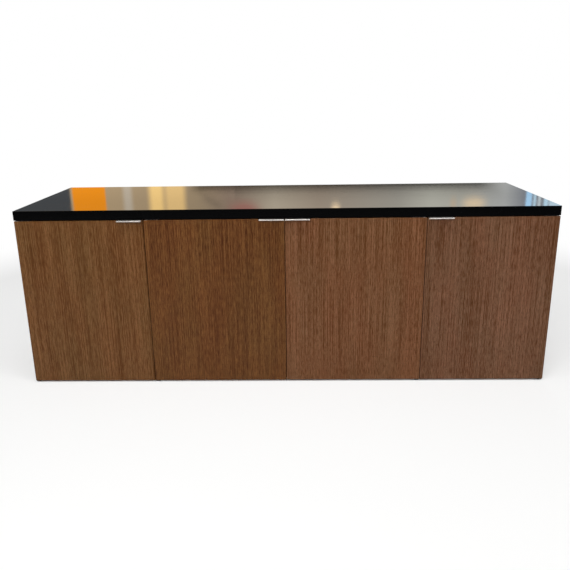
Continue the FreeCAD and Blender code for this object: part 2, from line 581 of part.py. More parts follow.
def make_door(name, hand, left, width):
    """A door with mortises, pivot bores, screw holes and the hole for its strike plate."""
    piece, blank = board(f"{name}_door", left, "Layout.front", "Layout.door_base",
                         width, "Sizes.door_thickness", "Layout.door_height")
    dress_edges(piece, "Chamfer", blank, lambda edge: lies_at(edge, "y", 0), "Sizes.door_arris")

    def from_hinge(distance):
        return distance if hand > 0 else f"{width} - ({distance})"

    near = "Sizes.pivot_inset - Sizes.leaf_margin - Sizes.mortise_clearance"
    far = f"{near} + Sizes.leaf_length + 2 * Sizes.mortise_clearance"
    sides = (from_hinge(near), from_hinge(far))
    low = "Sizes.pivot_setback - Sizes.leaf_margin - Sizes.mortise_clearance"
    high = f"{low} + Sizes.leaf_width + 2 * Sizes.mortise_clearance"
    screw_row = "Sizes.pivot_setback + Layout.leaf_centre"
    first = "Sizes.pivot_inset + Sizes.leaf_screw_offset"
    screws = [(from_hinge(first), screw_row),
              (from_hinge(f"{first} + Sizes.leaf_screw_pitch"), screw_row)]
    pivot = [(from_hinge("Sizes.pivot_inset"), "Sizes.pivot_setback")]
    bore = "Sizes.pin_depth - Sizes.leaf_thickness + Sizes.bore_clearance"
    for edge, floor, upwards in (
            ("0", "Sizes.leaf_thickness", True),
            ("Layout.door_height", "Layout.door_height - Sizes.leaf_thickness", False)):
        mortise = make_sketch(piece, "XY_Plane", edge)
        draw_rectangle(mortise, *(sides[::hand][0], low), *(sides[::hand][1], high))
        pocket(piece, mortise, "Sizes.leaf_thickness", upwards)
        drill(piece, "XY_Plane", floor, screws, "Layout.screw_hole", "Layout.leaf_pilot", upwards)
        drill(piece, "XY_Plane", floor, pivot, "Sizes.pin_radius + Sizes.bore_clearance", bore,
              upwards)
    pull_holes = [(from_hinge(pull_screw(width, end)), "Sizes.pull_seat / 2") for end in (-1, 1)]
    drill(piece, "XY_Plane", "Layout.door_height", pull_holes, "Layout.screw_hole",
          "Sizes.screw_length - Sizes.pull_thickness + Sizes.hole_overrun")
    strike = (from_hinge(f"{width} - Sizes.catch_inset"), "Layout.catch_height - Layout.door_base")
    drill(piece, "XZ_Plane", "-Sizes.door_thickness", [strike],
          "Sizes.strike_stem_radius + Sizes.hole_clearance",
          "Sizes.strike_stem_length + Sizes.hole_overrun", True)
    return piece


def pull_screw(width, end):
    """Hinge edge of a door to one of its pull's two screws."""
    middle = f"{width} - Sizes.pull_inset - Sizes.pull_length / 2"
    return f"{middle} + ({end}) * Sizes.pull_screw_spacing / 2"


def make_pull(name, hand, left, width):
    """A tab pull: a plate on the door's top edge that runs forward to a small turned-down lip."""
    start = f"{width} - Sizes.pull_inset - Sizes.pull_length" if hand > 0 else "Sizes.pull_inset"
    piece = make_body(f"{name}_pull", f"{left} + {start}", "Layout.front - Sizes.pull_projection",
                      "Layout.door_top - Sizes.pull_lip")
    depth = "Sizes.pull_projection + Sizes.pull_seat"
    top = "Sizes.pull_lip + Sizes.pull_thickness"
    section = make_sketch(piece, "YZ_Plane")
    draw_polygon(section, (("0", "0"), ("Sizes.pull_thickness", "0"),
                           ("Sizes.pull_thickness", "Sizes.pull_lip"), (depth, "Sizes.pull_lip"),
                           (depth, top), ("0", top)))
    blank = pad(piece, section, "Sizes.pull_length")
    bend = dress_edges(piece, "Fillet", blank,
                       lambda edge: lies_at(edge, "y", 0) and lies_at(edge, "z", size(top)),
                       "Sizes.pull_bend")
    dress_edges(piece, "Fillet", bend, lambda edge: is_upright(edge) and lies_at(edge, "y", 0),
                "Sizes.pull_corner")
    first = "(Sizes.pull_length - Sizes.pull_screw_spacing) / 2"
    row = "Sizes.pull_projection + Sizes.pull_seat / 2"
    holes = drill(piece, "XY_Plane", top, [(first, row)], "Layout.screw_hole",
                  "Sizes.pull_thickness", False, ("X_Axis", "2", "Sizes.pull_screw_spacing"))
    countersink(piece, holes, top, "Layout.screw_hole", "Sizes.screw_head")
    return piece


def cut_stop_slot(piece, hand):
    """A slot about the pivot axis, from straight inwards to the angle at which the door stops."""
    section = make_sketch(piece, "XZ_Plane")
    inner = f"{hand} * (Sizes.stop_radius - Layout.stop_half_slot)"
    outer = f"{hand} * (Sizes.stop_radius + Layout.stop_half_slot)"
    draw_rectangle(section, *((inner, "0") if hand > 0 else (outer, "0")),
                   *((outer, "Sizes.leaf_thickness") if hand > 0 else (inner, "Sizes.leaf_thickness")))
    groove = piece.newObject("PartDesign::Groove", f"{piece.Label}_slot")
    groove.Profile = section
    groove.ReferenceAxis = (origin_feature(piece, "Z_Axis"), [""])
    groove.Reversed = hand < 0
    groove.setExpression("Angle", "Sizes.opening_angle")
    DOC.recompute()
    far_end = (f"{hand} * Sizes.stop_radius * cos(Sizes.opening_angle)",
               "Sizes.stop_radius * sin(Sizes.opening_angle)")
    drill(piece, "XY_Plane", "0", [(f"{hand} * Sizes.stop_radius", "0"), far_end],
          "Layout.stop_half_slot", "Sizes.leaf_thickness", True)


def make_leaf(label, hand, stop):
    """A flat hinge leaf: pin hole on the Z axis, two screw holes sunk from above.

    A stop of "slot" is for the upper leaf of a door and "pin" for the leaf above it.
    """
    piece = make_body(label)
    near = "Sizes.leaf_margin"
    far = "(Sizes.leaf_length - Sizes.leaf_margin)"
    outline = make_sketch(piece, "XY_Plane")
    left, right = (near, far) if hand > 0 else (far, near)
    draw_rectangle(outline, f"-{left}", "-Sizes.leaf_margin", right,
                   "Sizes.leaf_width - Sizes.leaf_margin")
    blank = pad(piece, outline, "Sizes.leaf_thickness")
    dress_edges(piece, "Fillet", blank, is_upright, "Sizes.leaf_corner")
    drill(piece, "XY_Plane", "0", [("0", "0")], "Layout.pin_hole", "Sizes.leaf_thickness", True)
    if stop == "slot":
        cut_stop_slot(piece, hand)
    if stop == "pin":
        drill(piece, "XY_Plane", "0", [(f"{hand} * Sizes.stop_radius", "0")], "Layout.stop_hole",
              "Sizes.leaf_thickness", True)
    first = f"{hand} * Sizes.leaf_screw_offset"
    second = f"{hand} * (Sizes.leaf_screw_offset + Sizes.leaf_screw_pitch)"
    holes = drill(piece, "XY_Plane", "0",
                  [(first, "Layout.leaf_centre"), (second, "Layout.leaf_centre")],
                  "Layout.screw_hole", "Sizes.leaf_thickness", True)
    countersink(piece, holes, "Sizes.leaf_thickness", "Layout.screw_hole", "Sizes.screw_head")
    return piece


def make_foot_leaf():
    """The longer leaf under the case: its pin hole on the Z axis, its screws sunk from below."""
    piece = make_body("foot_leaf")
    reach = "(Layout.case_front - Layout.pivot_y)"
    outline = make_sketch(piece, "XY_Plane")
    draw_rectangle(outline, "-Sizes.foot_leaf_width / 2", "-Sizes.leaf_margin",
                   "Sizes.foot_leaf_width / 2", f"{reach} + Sizes.foot_leaf_tail")
    blank = pad(piece, outline, "Sizes.leaf_thickness")
    dress_edges(piece, "Fillet", blank, is_upright, "Sizes.leaf_corner")
    drill(piece, "XY_Plane", "0", [("0", "0")], "Layout.pin_hole", "Sizes.leaf_thickness", True)
    holes = drill(piece, "XY_Plane", "0", [("0", f"{reach} + Sizes.foot_screw_setback")],
                  "Layout.screw_hole", "Sizes.leaf_thickness", True,
                  ("Y_Axis", "2", "Sizes.foot_screw_pitch"))
    countersink(piece, holes, "0", "Layout.screw_hole", "Sizes.screw_head")
    return piece


def make_screw(label, radius, head, length):
    """A countersunk screw along -Z with the top of its head at the origin."""
    return turned(label, (("0", "0"), (f"{radius} + {head}", "0"), (radius, f"-{head}"),
                          (radius, f"Sizes.screw_tip - {length}"), ("0", f"-{length}")))


def make_pin():
    """A pivot pin along +Z, eased at its free end."""
    end = "Layout.pin_length"
    return turned("pivot_pin", (("0", "0"), ("Sizes.pin_radius", "0"),
                                ("Sizes.pin_radius", f"{end} - Sizes.pin_ease"),
                                ("Sizes.pin_radius - Sizes.pin_ease", end), ("0", end)))


def make_stop_pin():
    """A stop pin along -Z, from the top of the leaf that holds it."""
    return turned("stop_pin", (("0", "-Layout.stop_length"),
                               ("Sizes.stop_pin_radius", "-Layout.stop_length"),
                               ("Sizes.stop_pin_radius", "0"), ("0", "0")))


def make_washer():
    """A flat washer around a pivot pin."""
    bore = "Layout.pin_hole"
    return turned("pivot_washer", ((bore, "0"), ("Sizes.washer_radius", "0"),
                                   ("Sizes.washer_radius", "Sizes.washer_thickness"),
                                   (bore, "Sizes.washer_thickness")))


def make_peg():
    """A shelf peg along +Z: its shank below the panel's face and its head above."""
    shank = "(Sizes.peg_hole_depth - Sizes.hole_overrun)"
    return turned("peg", (("0", f"-{shank}"), ("Layout.peg_radius", f"-{shank}"),
                          ("Layout.peg_radius", "0"), ("Sizes.peg_head_radius", "0"),
                          ("Sizes.peg_head_radius", "Sizes.peg_head_length"),
                          ("0", "Sizes.peg_head_length")))


def make_glide():
    """A levelling glide: foot, collar and stem, with the foot on the floor."""
    end = "Sizes.glide_height + Sizes.glide_stem_length"
    return turned("glide", (("0", "0"), ("Sizes.glide_radius - Sizes.glide_ease", "0"),
                            ("Sizes.glide_radius", "Sizes.glide_ease"),
                            ("Sizes.glide_radius", "Sizes.glide_foot"),
                            ("Sizes.glide_collar_radius", "Sizes.glide_foot"),
                            ("Sizes.glide_collar_radius", "Sizes.glide_height"),
                            ("Sizes.glide_stem_radius", "Sizes.glide_height"),
                            ("Sizes.glide_stem_radius", end), ("0", end)))


def make_insert():
    """The threaded insert that a glide's stem screws into."""
    return turned("insert", (("Sizes.insert_bore", "0"), ("Sizes.insert_radius", "0"),
                             ("Sizes.insert_radius", "Sizes.insert_length"),
                             ("Sizes.insert_bore", "Sizes.insert_length")))


def make_catch():
    """A magnetic catch: a barrel along -Z and a flange above it."""
    return turned("catch", (("0", "-Sizes.catch_length"), ("Sizes.catch_radius", "-Sizes.catch_length"),
                            ("Sizes.catch_radius", "0"), ("Sizes.catch_flange_radius", "0"),
                            ("Sizes.catch_flange_radius", "Sizes.catch_flange"),
                            ("0", "Sizes.catch_flange")))


def make_strike(name, hand, left, width):
    """The steel disc on the back of a door that its catch holds, with the stem that fixes it."""
    disc = turned(f"{name}_strike_disc", (
        ("0", "-Sizes.strike_stem_length"), ("Sizes.strike_stem_radius", "-Sizes.strike_stem_length"),
        ("Sizes.strike_stem_radius", "0"), ("Sizes.strike_radius", "0"),
        ("Sizes.strike_radius", "Layout.strike_thickness"), ("0", "Layout.strike_thickness")))
    free = f"{width} - Sizes.catch_inset" if hand > 0 else "Sizes.catch_inset"
    return group(f"{name}_catch_strike", [
        copy_of(disc, f"{left} + {free}", "Layout.front + Sizes.door_thickness",
                "Layout.catch_height", TURN_X, -90)])


def make_bumper():
    """A soft door bumper with an eased face."""
    return turned("bumper", (("0", "0"), ("Sizes.bumper_radius", "0"),
                             ("Sizes.bumper_radius", "Layout.bumper_height - Sizes.bumper_dome"),
                             ("Sizes.bumper_radius - Sizes.bumper_dome", "Layout.bumper_height"),
                             ("0", "Layout.bumper_height")))


def make_dowel():
    """A wooden dowel along Z, with the joint at the origin and the longer half above it."""
    return turned("dowel", (("0", "-Sizes.dowel_in_face"),
                            ("Sizes.dowel_radius", "-Sizes.dowel_in_face"),
                            ("Sizes.dowel_radius", "Sizes.dowel_in_edge"),
                            ("0", "Sizes.dowel_in_edge")))


def place_dowels(dowel):
    """Dowels at both ends of the level panels and at both ends of the partitions."""
    copies = []
    count = round(size("Sizes.dowel_count"))
    for number in range(count):
        y = f"Layout.case_front + Sizes.dowel_setback + {number} * Layout.dowel_pitch"
        for level in ("Sizes.glide_height + Layout.half_panel", "Layout.slab_base - Layout.half_panel"):
            copies.append(copy_of(dowel, "-Layout.inner_half", y, level, TURN_Y, 90))
            copies.append(copy_of(dowel, "Layout.inner_half", y, level, TURN_Y, -90))
        for x in mirrored("Sizes.seam_offset"):
            copies.append(copy_of(dowel, x, y, "Layout.floor_top"))
            copies.append(copy_of(dowel, x, y, "Layout.ceiling", TURN_X, 180))
    return copies


def place_pegs(peg):
    """Four pegs under each shelf, in the middle peg holes."""
    outside = "Layout.inner_half"
    beside = "Sizes.seam_offset + Layout.half_panel"
    middle = "Sizes.seam_offset - Layout.half_panel"
    rightwards = (f"-({outside})", f"-({middle})", beside)
    leftwards = (f"-({beside})", middle, outside)
    height = "Layout.floor_top + Layout.peg_middle"
    copies = []
    for row in ("0", "Layout.peg_row_pitch"):
        y = f"Layout.case_front + Sizes.peg_row_setback + {row}"
        copies += [copy_of(peg, x, y, height, TURN_Y, 90) for x in rightwards]
        copies += [copy_of(peg, x, y, height, TURN_Y, -90) for x in leftwards]
    return copies


def place_at_glides(master, height):
    """A copy at every glide: under the end panels and under the partitions."""
    ends = "Layout.half_width - Layout.half_panel"
    return [copy_of(master, x, f"Layout.case_front + {y}", height)
            for y in ("Layout.glide_front", "Layout.glide_rear")
            for distance in (ends, "Sizes.seam_offset")
            for x in mirrored(distance)]


def place_slab_screws(screw):
    """Screws up through the sub-top panel into the slab."""
    front = "Layout.case_front + Sizes.slab_screw_setback"
    return [copy_of(screw, x, y, "Layout.ceiling", TURN_X, 180)
            for x in slab_screw_places() for y in (front, f"{front} + {slab_screw_pitch()}")]


def place_back_screws(screw):
    """Two rows of screws forward through the back panel."""
    count = round(size("Sizes.back_screw_count"))
    first = "Sizes.back_screw_inset - Layout.inner_half"
    return [copy_of(screw, f"{first} + {number} * Layout.back_screw_pitch", "Layout.back",
                    level, TURN_X, -90)
            for number in range(count)
            for level in ("Sizes.glide_height + Layout.half_panel",
                          "Layout.slab_base - Layout.half_panel")]


def place_leaf_screws(screw, hand, pivot, height, upwards):
    """The two screws of a hinge leaf, driven upwards or downwards from a height."""
    row = "Layout.pivot_y + Layout.leaf_centre"
    turn = 180 if upwards else 0
    first = f"{pivot} + ({hand}) * Sizes.leaf_screw_offset"
    return [copy_of(screw, x, row, height, TURN_X, turn)
            for x in (first, f"{first} + ({hand}) * Sizes.leaf_screw_pitch")]


def place_foot_screws(screw, pivot):
    """The two screws of the leaf under the case."""
    first = "Layout.case_front + Sizes.foot_screw_setback"
    return [copy_of(screw, pivot, y, "Sizes.glide_height - Sizes.leaf_thickness", TURN_X, 180)
            for y in (first, f"{first} + Sizes.foot_screw_pitch")]


def make_carcass():
    """The panels of the case and its loose shelves."""
    left_bay = "-Layout.inner_half"
    right_bay = "Sizes.seam_offset + Layout.half_panel"
    centre = "Layout.half_panel - Sizes.seam_offset"
    return [
        make_slab(),
        make_end_panel("left_end_panel", 1),
        make_end_panel("right_end_panel", -1),
        make_partition("left_partition", -1),
        make_partition("right_partition", 1),
        make_bottom_panel(),
        make_sub_top_panel(),
        make_back_panel(),
        make_shelf("left_shelf", left_bay, "Layout.outer_bay"),
        make_shelf("centre_shelf", centre, "Layout.centre_bay"),
        make_shelf("right_shelf", right_bay, "Layout.outer_bay"),
    ]


def make_case_hardware(screw):
    """Everything that is fixed to the case."""
    leaves = {hand: make_leaf("upper_case_leaf", hand, "pin") for hand in (1, -1)}
    pin = make_pin()
    stop_pin = make_stop_pin()
    washer = make_washer()
    catch = make_catch()
    bumper = make_bumper()
    slab_screw = make_screw("slab_screw", "Sizes.slab_screw_radius", "Sizes.slab_screw_head",
                            "Sizes.slab_screw_length")
    foot_leaf = make_foot_leaf()
    leaf_base = "Layout.slab_base - Sizes.leaf_thickness"
    foot_base = "Sizes.glide_height - Sizes.leaf_thickness"
    catch_x = [x for distance in ("Layout.outer_catch", "Layout.centre_catch")
               for x in mirrored(distance)]
    upper_leaves = []
    foot_leaves = []
    pins = []
    stop_pins = []
    washers = []
    screws = []
    for _, hand, _, _, pivot in DOORS:
        axis = (pivot, "Layout.pivot_y")
        upper_leaves.append(copy_of(leaves[-hand], *axis, "Layout.slab_base", TURN_Y, 180))
        foot_leaves.append(copy_of(foot_leaf, *axis, foot_base))
        pins.append(copy_of(pin, *axis, foot_base))
        pins.append(copy_of(pin, *axis, "Layout.slab_base", TURN_X, 180))
        stop_pins.append(copy_of(stop_pin, f"{pivot} + {hand} * Sizes.stop_radius",
                                 "Layout.pivot_y", "Layout.slab_base"))
        washers.append(copy_of(washer, *axis, "Sizes.glide_height"))
        washers.append(copy_of(washer, *axis, f"{leaf_base} - Sizes.washer_thickness"))
        screws += place_leaf_screws(screw, hand, pivot, leaf_base, True)
        screws += place_foot_screws(screw, pivot)
    return [
        group("case_dowels", place_dowels(make_dowel())),
        group("shelf_pegs", place_pegs(make_peg())),
        group("levelling_glides", place_at_glides(make_glide(), "0")),
        group("glide_inserts", place_at_glides(make_insert(), "Sizes.glide_height")),
        group("slab_screws", place_slab_screws(slab_screw)),
        group("back_screws", place_back_screws(screw)),
        group("upper_case_leaves", upper_leaves),
        group("lower_case_leaves", foot_leaves),
        group("pivot_pins", pins),
        group("stop_pins", stop_pins),
        group("pivot_washers", washers),
        group("case_leaf_screws", screws),
        group("door_catches", [copy_of(catch, x, "Layout.case_front", "Layout.catch_height",
                                       TURN_X, 90) for x in catch_x]),
        group("door_bumpers", [copy_of(bumper, x, "Layout.case_front",
                                       "Sizes.glide_height + Layout.half_panel", TURN_X, 90)
                               for x in catch_x]),
    ]


def make_door_set(door, screw, upper_leaves, lower_leaves):
    """A door with its pull, the leaves of its hinges, their screws and its strike plate."""
    name, hand, left, width, pivot = door
    start = f"{width} - Sizes.pull_inset" if hand > 0 else "Sizes.pull_inset + Sizes.pull_length"
    middle = f"{left} + {start} - Sizes.pull_length / 2"
    pull_screws = [copy_of(screw, f"{middle} + ({end}) * Sizes.pull_screw_spacing / 2",
                           "Layout.front + Sizes.pull_seat / 2",
                           "Layout.door_top + Sizes.pull_thickness") for end in (-1, 1)]
    door_leaves = [
        copy_of(upper_leaves[hand], pivot, "Layout.pivot_y",
                "Layout.door_top - Sizes.leaf_thickness"),
        copy_of(lower_leaves[-hand], pivot, "Layout.pivot_y",
                "Layout.door_base + Sizes.leaf_thickness", TURN_Y, 180),
    ]
    leaf_screws = (place_leaf_screws(screw, hand, pivot, "Layout.door_top", False)
                   + place_leaf_screws(screw, hand, pivot, "Layout.door_base", True))
    return [
        make_door(name, hand, left, width),
        make_pull(name, hand, left, width),
        group(f"{name}_pull_screws", pull_screws),
        group(f"{name}_door_leaves", door_leaves),
        group(f"{name}_leaf_screws", leaf_screws),
        make_strike(name, hand, left, width),
    ]


def check_document(nodes):
    """Stop if a feature failed, a pocket cut nothing, or a node has no valid solid."""
    for item in DOC.Objects:
        if "Invalid" in item.State or "Error" in item.State:
            raise RuntimeError(f"{item.Label} failed: {item.State}")
        if item.TypeId == "PartDesign::Pocket":
            cut = item.BaseFeature.Shape.Volume - item.Shape.Volume
            if cut < 1e-3:
                raise RuntimeError(f"{item.Label} cuts nothing")
    for node in nodes:
        if node.Shape.isNull() or not node.Shape.isValid() or not node.Shape.Solids:
            raise RuntimeError(f"{node.Label} has no valid solid")


def export(nodes):
    """Write one STEP file for each node."""
    os.makedirs("parts", exist_ok=True)
    for node in nodes:
        node.Shape.exportStep(os.path.join("parts", f"{node.Label}.step"))


def main():
    screw = make_screw("small_screw", "Sizes.screw_radius", "Sizes.screw_head", "Sizes.screw_length")
    upper_leaves = {hand: make_leaf("upper_door_leaf", hand, "slot") for hand in (1, -1)}
    lower_leaves = {hand: make_leaf("lower_door_leaf", hand, "none") for hand in (1, -1)}
    nodes = make_carcass()
    nodes += make_case_hardware(screw)
    for door in DOORS:
        nodes += make_door_set(door, screw, upper_leaves, lower_leaves)
    DOC.recompute()
    check_document(nodes)
    export(nodes)
    box = Part.makeCompound([node.Shape for node in nodes]).BoundBox
    print(f"{len(nodes)} nodes, {sum(len(node.Shape.Solids) for node in nodes)} solids")
    print(f"X {box.XMin:.2f} to {box.XMax:.2f}, Y {box.YMin:.2f} to {box.YMax:.2f}, "
          f"Z {box.ZMin:.2f} to {box.ZMax:.2f}")
    print(f"diagonal {math.hypot(box.XLength, box.YLength, box.ZLength):.1f} mm")


main()
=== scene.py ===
"""Finishes, driven screws, floor, lamps and camera for a four-door office credenza.

Everything is in metres, with +X to the right, +Y to the back and +Z up, as the construction is.
"""

import math

import bpy
import numpy as np
from bpy.props import FloatProperty, FloatVectorProperty, IntProperty, PointerProperty
from mathutils import Matrix, Vector


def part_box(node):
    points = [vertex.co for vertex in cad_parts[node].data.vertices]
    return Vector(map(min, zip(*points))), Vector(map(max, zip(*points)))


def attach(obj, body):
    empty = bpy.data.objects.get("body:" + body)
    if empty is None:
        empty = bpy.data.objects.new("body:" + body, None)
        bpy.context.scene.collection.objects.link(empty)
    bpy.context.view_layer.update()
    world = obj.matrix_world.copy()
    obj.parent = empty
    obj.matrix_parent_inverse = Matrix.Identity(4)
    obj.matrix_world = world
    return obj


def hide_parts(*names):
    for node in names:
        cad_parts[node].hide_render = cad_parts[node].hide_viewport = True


bl_info = {
    "name": "Office credenza",
    "version": (1, 0, 0),
    "blender": (4, 5, 0),
    "location": "3D View > Sidebar > Credenza",
    "description": "Dresses the credenza's construction and sets up its studio",
    "category": "Object",
}

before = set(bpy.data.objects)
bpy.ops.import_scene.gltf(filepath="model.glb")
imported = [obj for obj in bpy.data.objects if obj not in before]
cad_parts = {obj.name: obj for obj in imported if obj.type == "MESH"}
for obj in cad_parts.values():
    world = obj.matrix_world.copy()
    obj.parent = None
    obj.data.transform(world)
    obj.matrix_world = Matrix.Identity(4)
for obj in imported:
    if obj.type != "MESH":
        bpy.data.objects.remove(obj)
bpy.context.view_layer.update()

SLAB_LOW, SLAB_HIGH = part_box("top_slab")
DOORS = ("outer_left", "centre_left", "centre_right", "outer_right")
UPRIGHT_PANELS = ("left_end_panel", "right_end_panel", "left_partition", "right_partition",
                  "back_panel")
LEVEL_PANELS = ("bottom_panel", "sub_top_panel", "left_shelf", "centre_shelf", "right_shelf")
AXES = {"X": 0, "Y": 1, "Z": 2}
WHITE = (1, 1, 1, 1)
NOISE_ROUGHNESS = 0.55
SEED_DIRECTION = (1.0, 0.7, 1.3)
LACQUER_IOR = 1.45

# Each run of veneer starts at its own place in the noise.
DOOR_SEED, DOOR_SEED_STEP = 40, 13
UPRIGHT_SEED, LEVEL_SEED = 120, 150

# How far the lightest and darkest wood leave the mean colour in red, green and blue, as shares
# of the contrast.
LIGHT_GAINS = (1.0, 1.4, 2.4)
DARK_GAINS = (0.9, 1.2, 1.85)

# The two tints between which the hue of the wood drifts.
RED_DRIFT = (1.03, 0.97, 0.95, 1.0)
OLIVE_DRIFT = (0.97, 1.02, 1.03, 1.0)

# Shares of bands, streaks and flecks in the tone of the wood, and of a pore in its darkness. In
# the relief a fleck stands half as high as a pore is deep.
BAND_SHARE, STREAK_SHARE, FLECK_SHARE, PORE_SHARE = 0.12, 0.40, 0.48, 0.6
FLECK_HEIGHT = 0.5

# Specks of dust in the lacquer, and how high its waves are beside the grain.
DUST_COLOUR = (0.10, 0.09, 0.08, 1)
DUST_SHARE = 0.15
WAVE_HEIGHT = 1.5

# A screw's point, from its tip: share of the shank's radius, and share of the length. The head's
# face has rings down to a last one that is too small to see.
SCREW_POINT = ((0.02, 0.0), (0.6, 0.06), (1.0, 0.15))
HEAD_RINGS = 12
LAST_RADIUS = 1e-6
RECESS_WALL_SLOPE = 1.6
RECESS_END_SLOPE = 3

# The floor's inner rings, and where the white over the shadow sets in, measured outwards from
# the slab's footprint.
FLOOR_RINGS = (1.0, 3.0)
FLOOR_COLUMNS = 64
SHADOW_EDGE = (-0.007, -0.001)

# Each softbox: name, where it hangs, what it faces, width, height, and whether gloss mirrors it.
# Its power is a setting of the stage.
MIDDLE = (0, 0, SLAB_HIGH.z / 2)
SLAB_FRONT = (0, SLAB_LOW.y, SLAB_LOW.z)
SOFTBOXES = (
    ("key", (-1.3, -3.0, 2.4), MIDDLE, 1.5, 1.0, False),
    ("fill", (2.3, -2.3, 1.5), MIDDLE, 1.8, 1.4, False),
    ("top", (0, -0.9, 2.7), SLAB_FRONT, 2.6, 0.9, True),
    ("rear", (0.6, 3.0, 1.6), MIDDLE, 2.4, 1.2, False),
)

# The backdrop that only gloss mirrors. A heading is an angle to the right of +Y in radians, and
# a steepness is rise over run towards +Y. Its tones have their places as shares of the span.
BACKDROP_SPAN = (-0.5, 0.5)
BACKDROP_TONES = (
    (0.18, (0.98, 0.72, 0.43)),
    (0.32, (0.80, 0.60, 0.38)),
    (0.38, (0.64, 0.47, 0.35)),
    (0.46, (1.10, 0.94, 0.72)),
    (0.54, (0.86, 0.70, 0.54)),
    (0.68, (0.86, 0.81, 0.70)),
    (0.74, (1.14, 1.12, 0.97)),
    (0.79, (1.02, 1.00, 0.88)),
    (0.86, (0.95, 0.97, 0.95)),
    (0.89, (0.52, 0.55, 0.61)),
)

# Upright glows on it: heading, half width, width of the soft edges, and colour. They rise and
# end between these steepnesses.
GLOW_FOOT = (0.110, 0.145)
GLOW_HEAD = (0.215, 0.260)
GLOWS = (
    (-0.475, 0.082, 0.004, (0.14, 0.15, 0.16)),
    (-0.361, 0.025, 0.003, (1.97, 0.65, 0.03)),
    (-0.298, 0.002, 0.010, (1.15, 0.98, 0.76)),
    (-0.249, 0.005, 0.014, (2.15, 1.45, 0.56)),
    (-0.217, 0.010, 0.014, (1.85, 1.25, 0.53)),
    (0.396, 0.003, 0.003, (0.98, 1.58, 2.16)),
    (0.405, 0.001, 0.002, (1.15, 1.60, 1.90)),
    (0.412, 0.001, 0.002, (1.28, 1.45, 1.53)),
    (0.422, 0.002, 0.002, (1.17, 1.66, 2.00)),
    (0.438, 0.010, 0.003, (1.19, 1.55, 1.80)),
)

# Small soft patches in front of them: heading, steepness, half width and half height on the same
# scales, turn from the horizontal, and colour. A patch keeps its full colour in its core.
PATCH_CORE = 0.2
PATCHES = (
    (-0.095, 0.201, 0.042, 0.020, 0.0, (0.85, 0.32, 0.27)),
    (0.071, 0.199, 0.013, 0.011, 0.0, (2.50, 1.90, 1.20)),
    (0.276, 0.192, 0.009, 0.014, 0.0, (1.25, 1.02, 0.75)),
    (0.310, 0.193, 0.029, 0.016, 0.0, (1.85, 1.45, 0.95)),
    (-0.152, 0.184, 0.036, 0.007, 0.55, (0.45, 0.34, 0.24)),
)

# Where the backdrop dims: below a rim, and down a slope above it, but not left of two headings.
# At the right it keeps a least strength. Past both ends, and on the camera's side, it is plain.
# AHEAD is the part of a direction along +Y over which the camera's side gives way to it.
RIM_STEEPNESS = (0.158, 0.168)
RIM_STRENGTH = 0.2
RIM_HEADING = (-0.20, -0.16)
SLOPE_STEEPNESS = (0.166, 0.195)
SLOPE_STRENGTHS = (0.70, 1.08)
SLOPE_HEADING = (-0.115, -0.098)
RIGHT_HEADING = (0.30, 0.36)
RIGHT_STRENGTH = 0.88
END_HEADING = (0.50, 0.75)
AHEAD = (-0.3, 0.5)


def colour_property(name, description, default):
    """A colour that a user can change, in linear light."""
    return FloatVectorProperty(name=name, description=description, default=default,
                               subtype="COLOR", min=0, max=1)


class VeneerSettings(bpy.types.PropertyGroup):
    """The wood veneer of the doors and the case."""
    outer_left: colour_property("Outer left door", "Mean colour of its veneer",
                                (0.117, 0.0485, 0.0134))
    centre_left: colour_property("Centre left door", "Mean colour of its veneer",
                                 (0.095, 0.0340, 0.0069))
    centre_right: colour_property("Centre right door", "Mean colour of its veneer",
                                  (0.124, 0.0495, 0.0180))
    # The outer right door's extra blue over the other doors is painted bluish light from the right;
    # the rest of its colour is the wood's own.
    outer_right: colour_property("Outer right door", "Mean colour of its veneer",
                                 (0.117, 0.0496, 0.0213))
    case: colour_property("Case", "Mean colour of the veneer on the case", (0.130, 0.0530, 0.0200))
    contrast: FloatProperty(name="Grain contrast", description="How far light and dark wood differ",
                            default=0.46, min=0, max=0.6, subtype="FACTOR")
    door_contrasts: FloatVectorProperty(name="Door contrasts",
                                        description="Grain contrast of each door from left to"
                                        " right, as a share of the grain contrast",
                                        size=4, default=(0.98, 1.33, 1.16, 1.22), min=0, max=2)
    fleck_width: FloatProperty(name="Fleck width", description="Width of a short fleck of grain",
                               default=0.0019, unit="LENGTH")
    fleck_length: FloatProperty(name="Fleck length", description="Length of a short fleck of grain",
                                default=0.026, unit="LENGTH")
    streak_width: FloatProperty(name="Streak width", description="Width of a long streak of grain",
                                default=0.0024, unit="LENGTH")
    streak_length: FloatProperty(name="Streak length",
                                 description="Length of a long streak of grain",
                                 default=0.35, unit="LENGTH")
    pore_width: FloatProperty(name="Pore width", description="Width of an open pore",
                              default=0.0014, unit="LENGTH")
    pore_length: FloatProperty(name="Pore length", description="Length of an open pore",
                               default=0.009, unit="LENGTH")
    roughness: FloatProperty(name="Roughness", description="Roughness of the satin lacquer",
                             default=0.44, min=0, max=1, subtype="FACTOR")
    sheen: FloatProperty(name="Head-on gloss", description="Gloss that is left when looking"
                         " straight at the lacquer", default=0.30, min=0, max=1,
                         subtype="FACTOR")


class LacquerSettings(bpy.types.PropertyGroup):
    """The black lacquer of the top slab."""
    colour: colour_property("Colour", "Colour of the lacquer", (0.0009, 0.0009, 0.0011))
    sheen: FloatProperty(name="Head-on gloss", description="Gloss that is left when looking"
                         " straight at the lacquer", default=0.07, min=0, max=1,
                         subtype="FACTOR")
    roughness: FloatProperty(name="Roughness", description="Roughness of the lacquer",
                             default=0.04, min=0, max=1, subtype="FACTOR")
    grain_width: FloatProperty(name="Grain width",
                               description="Width of the grain that shows in the gloss",
                               default=0.0016, unit="LENGTH")
    grain_length: FloatProperty(name="Grain length",
                                description="Length of the grain that shows in the gloss",
                                default=0.22, unit="LENGTH")
    grain_height: FloatProperty(name="Grain height", description="Height of that grain",
                                default=0.00003, unit="LENGTH", precision=6)


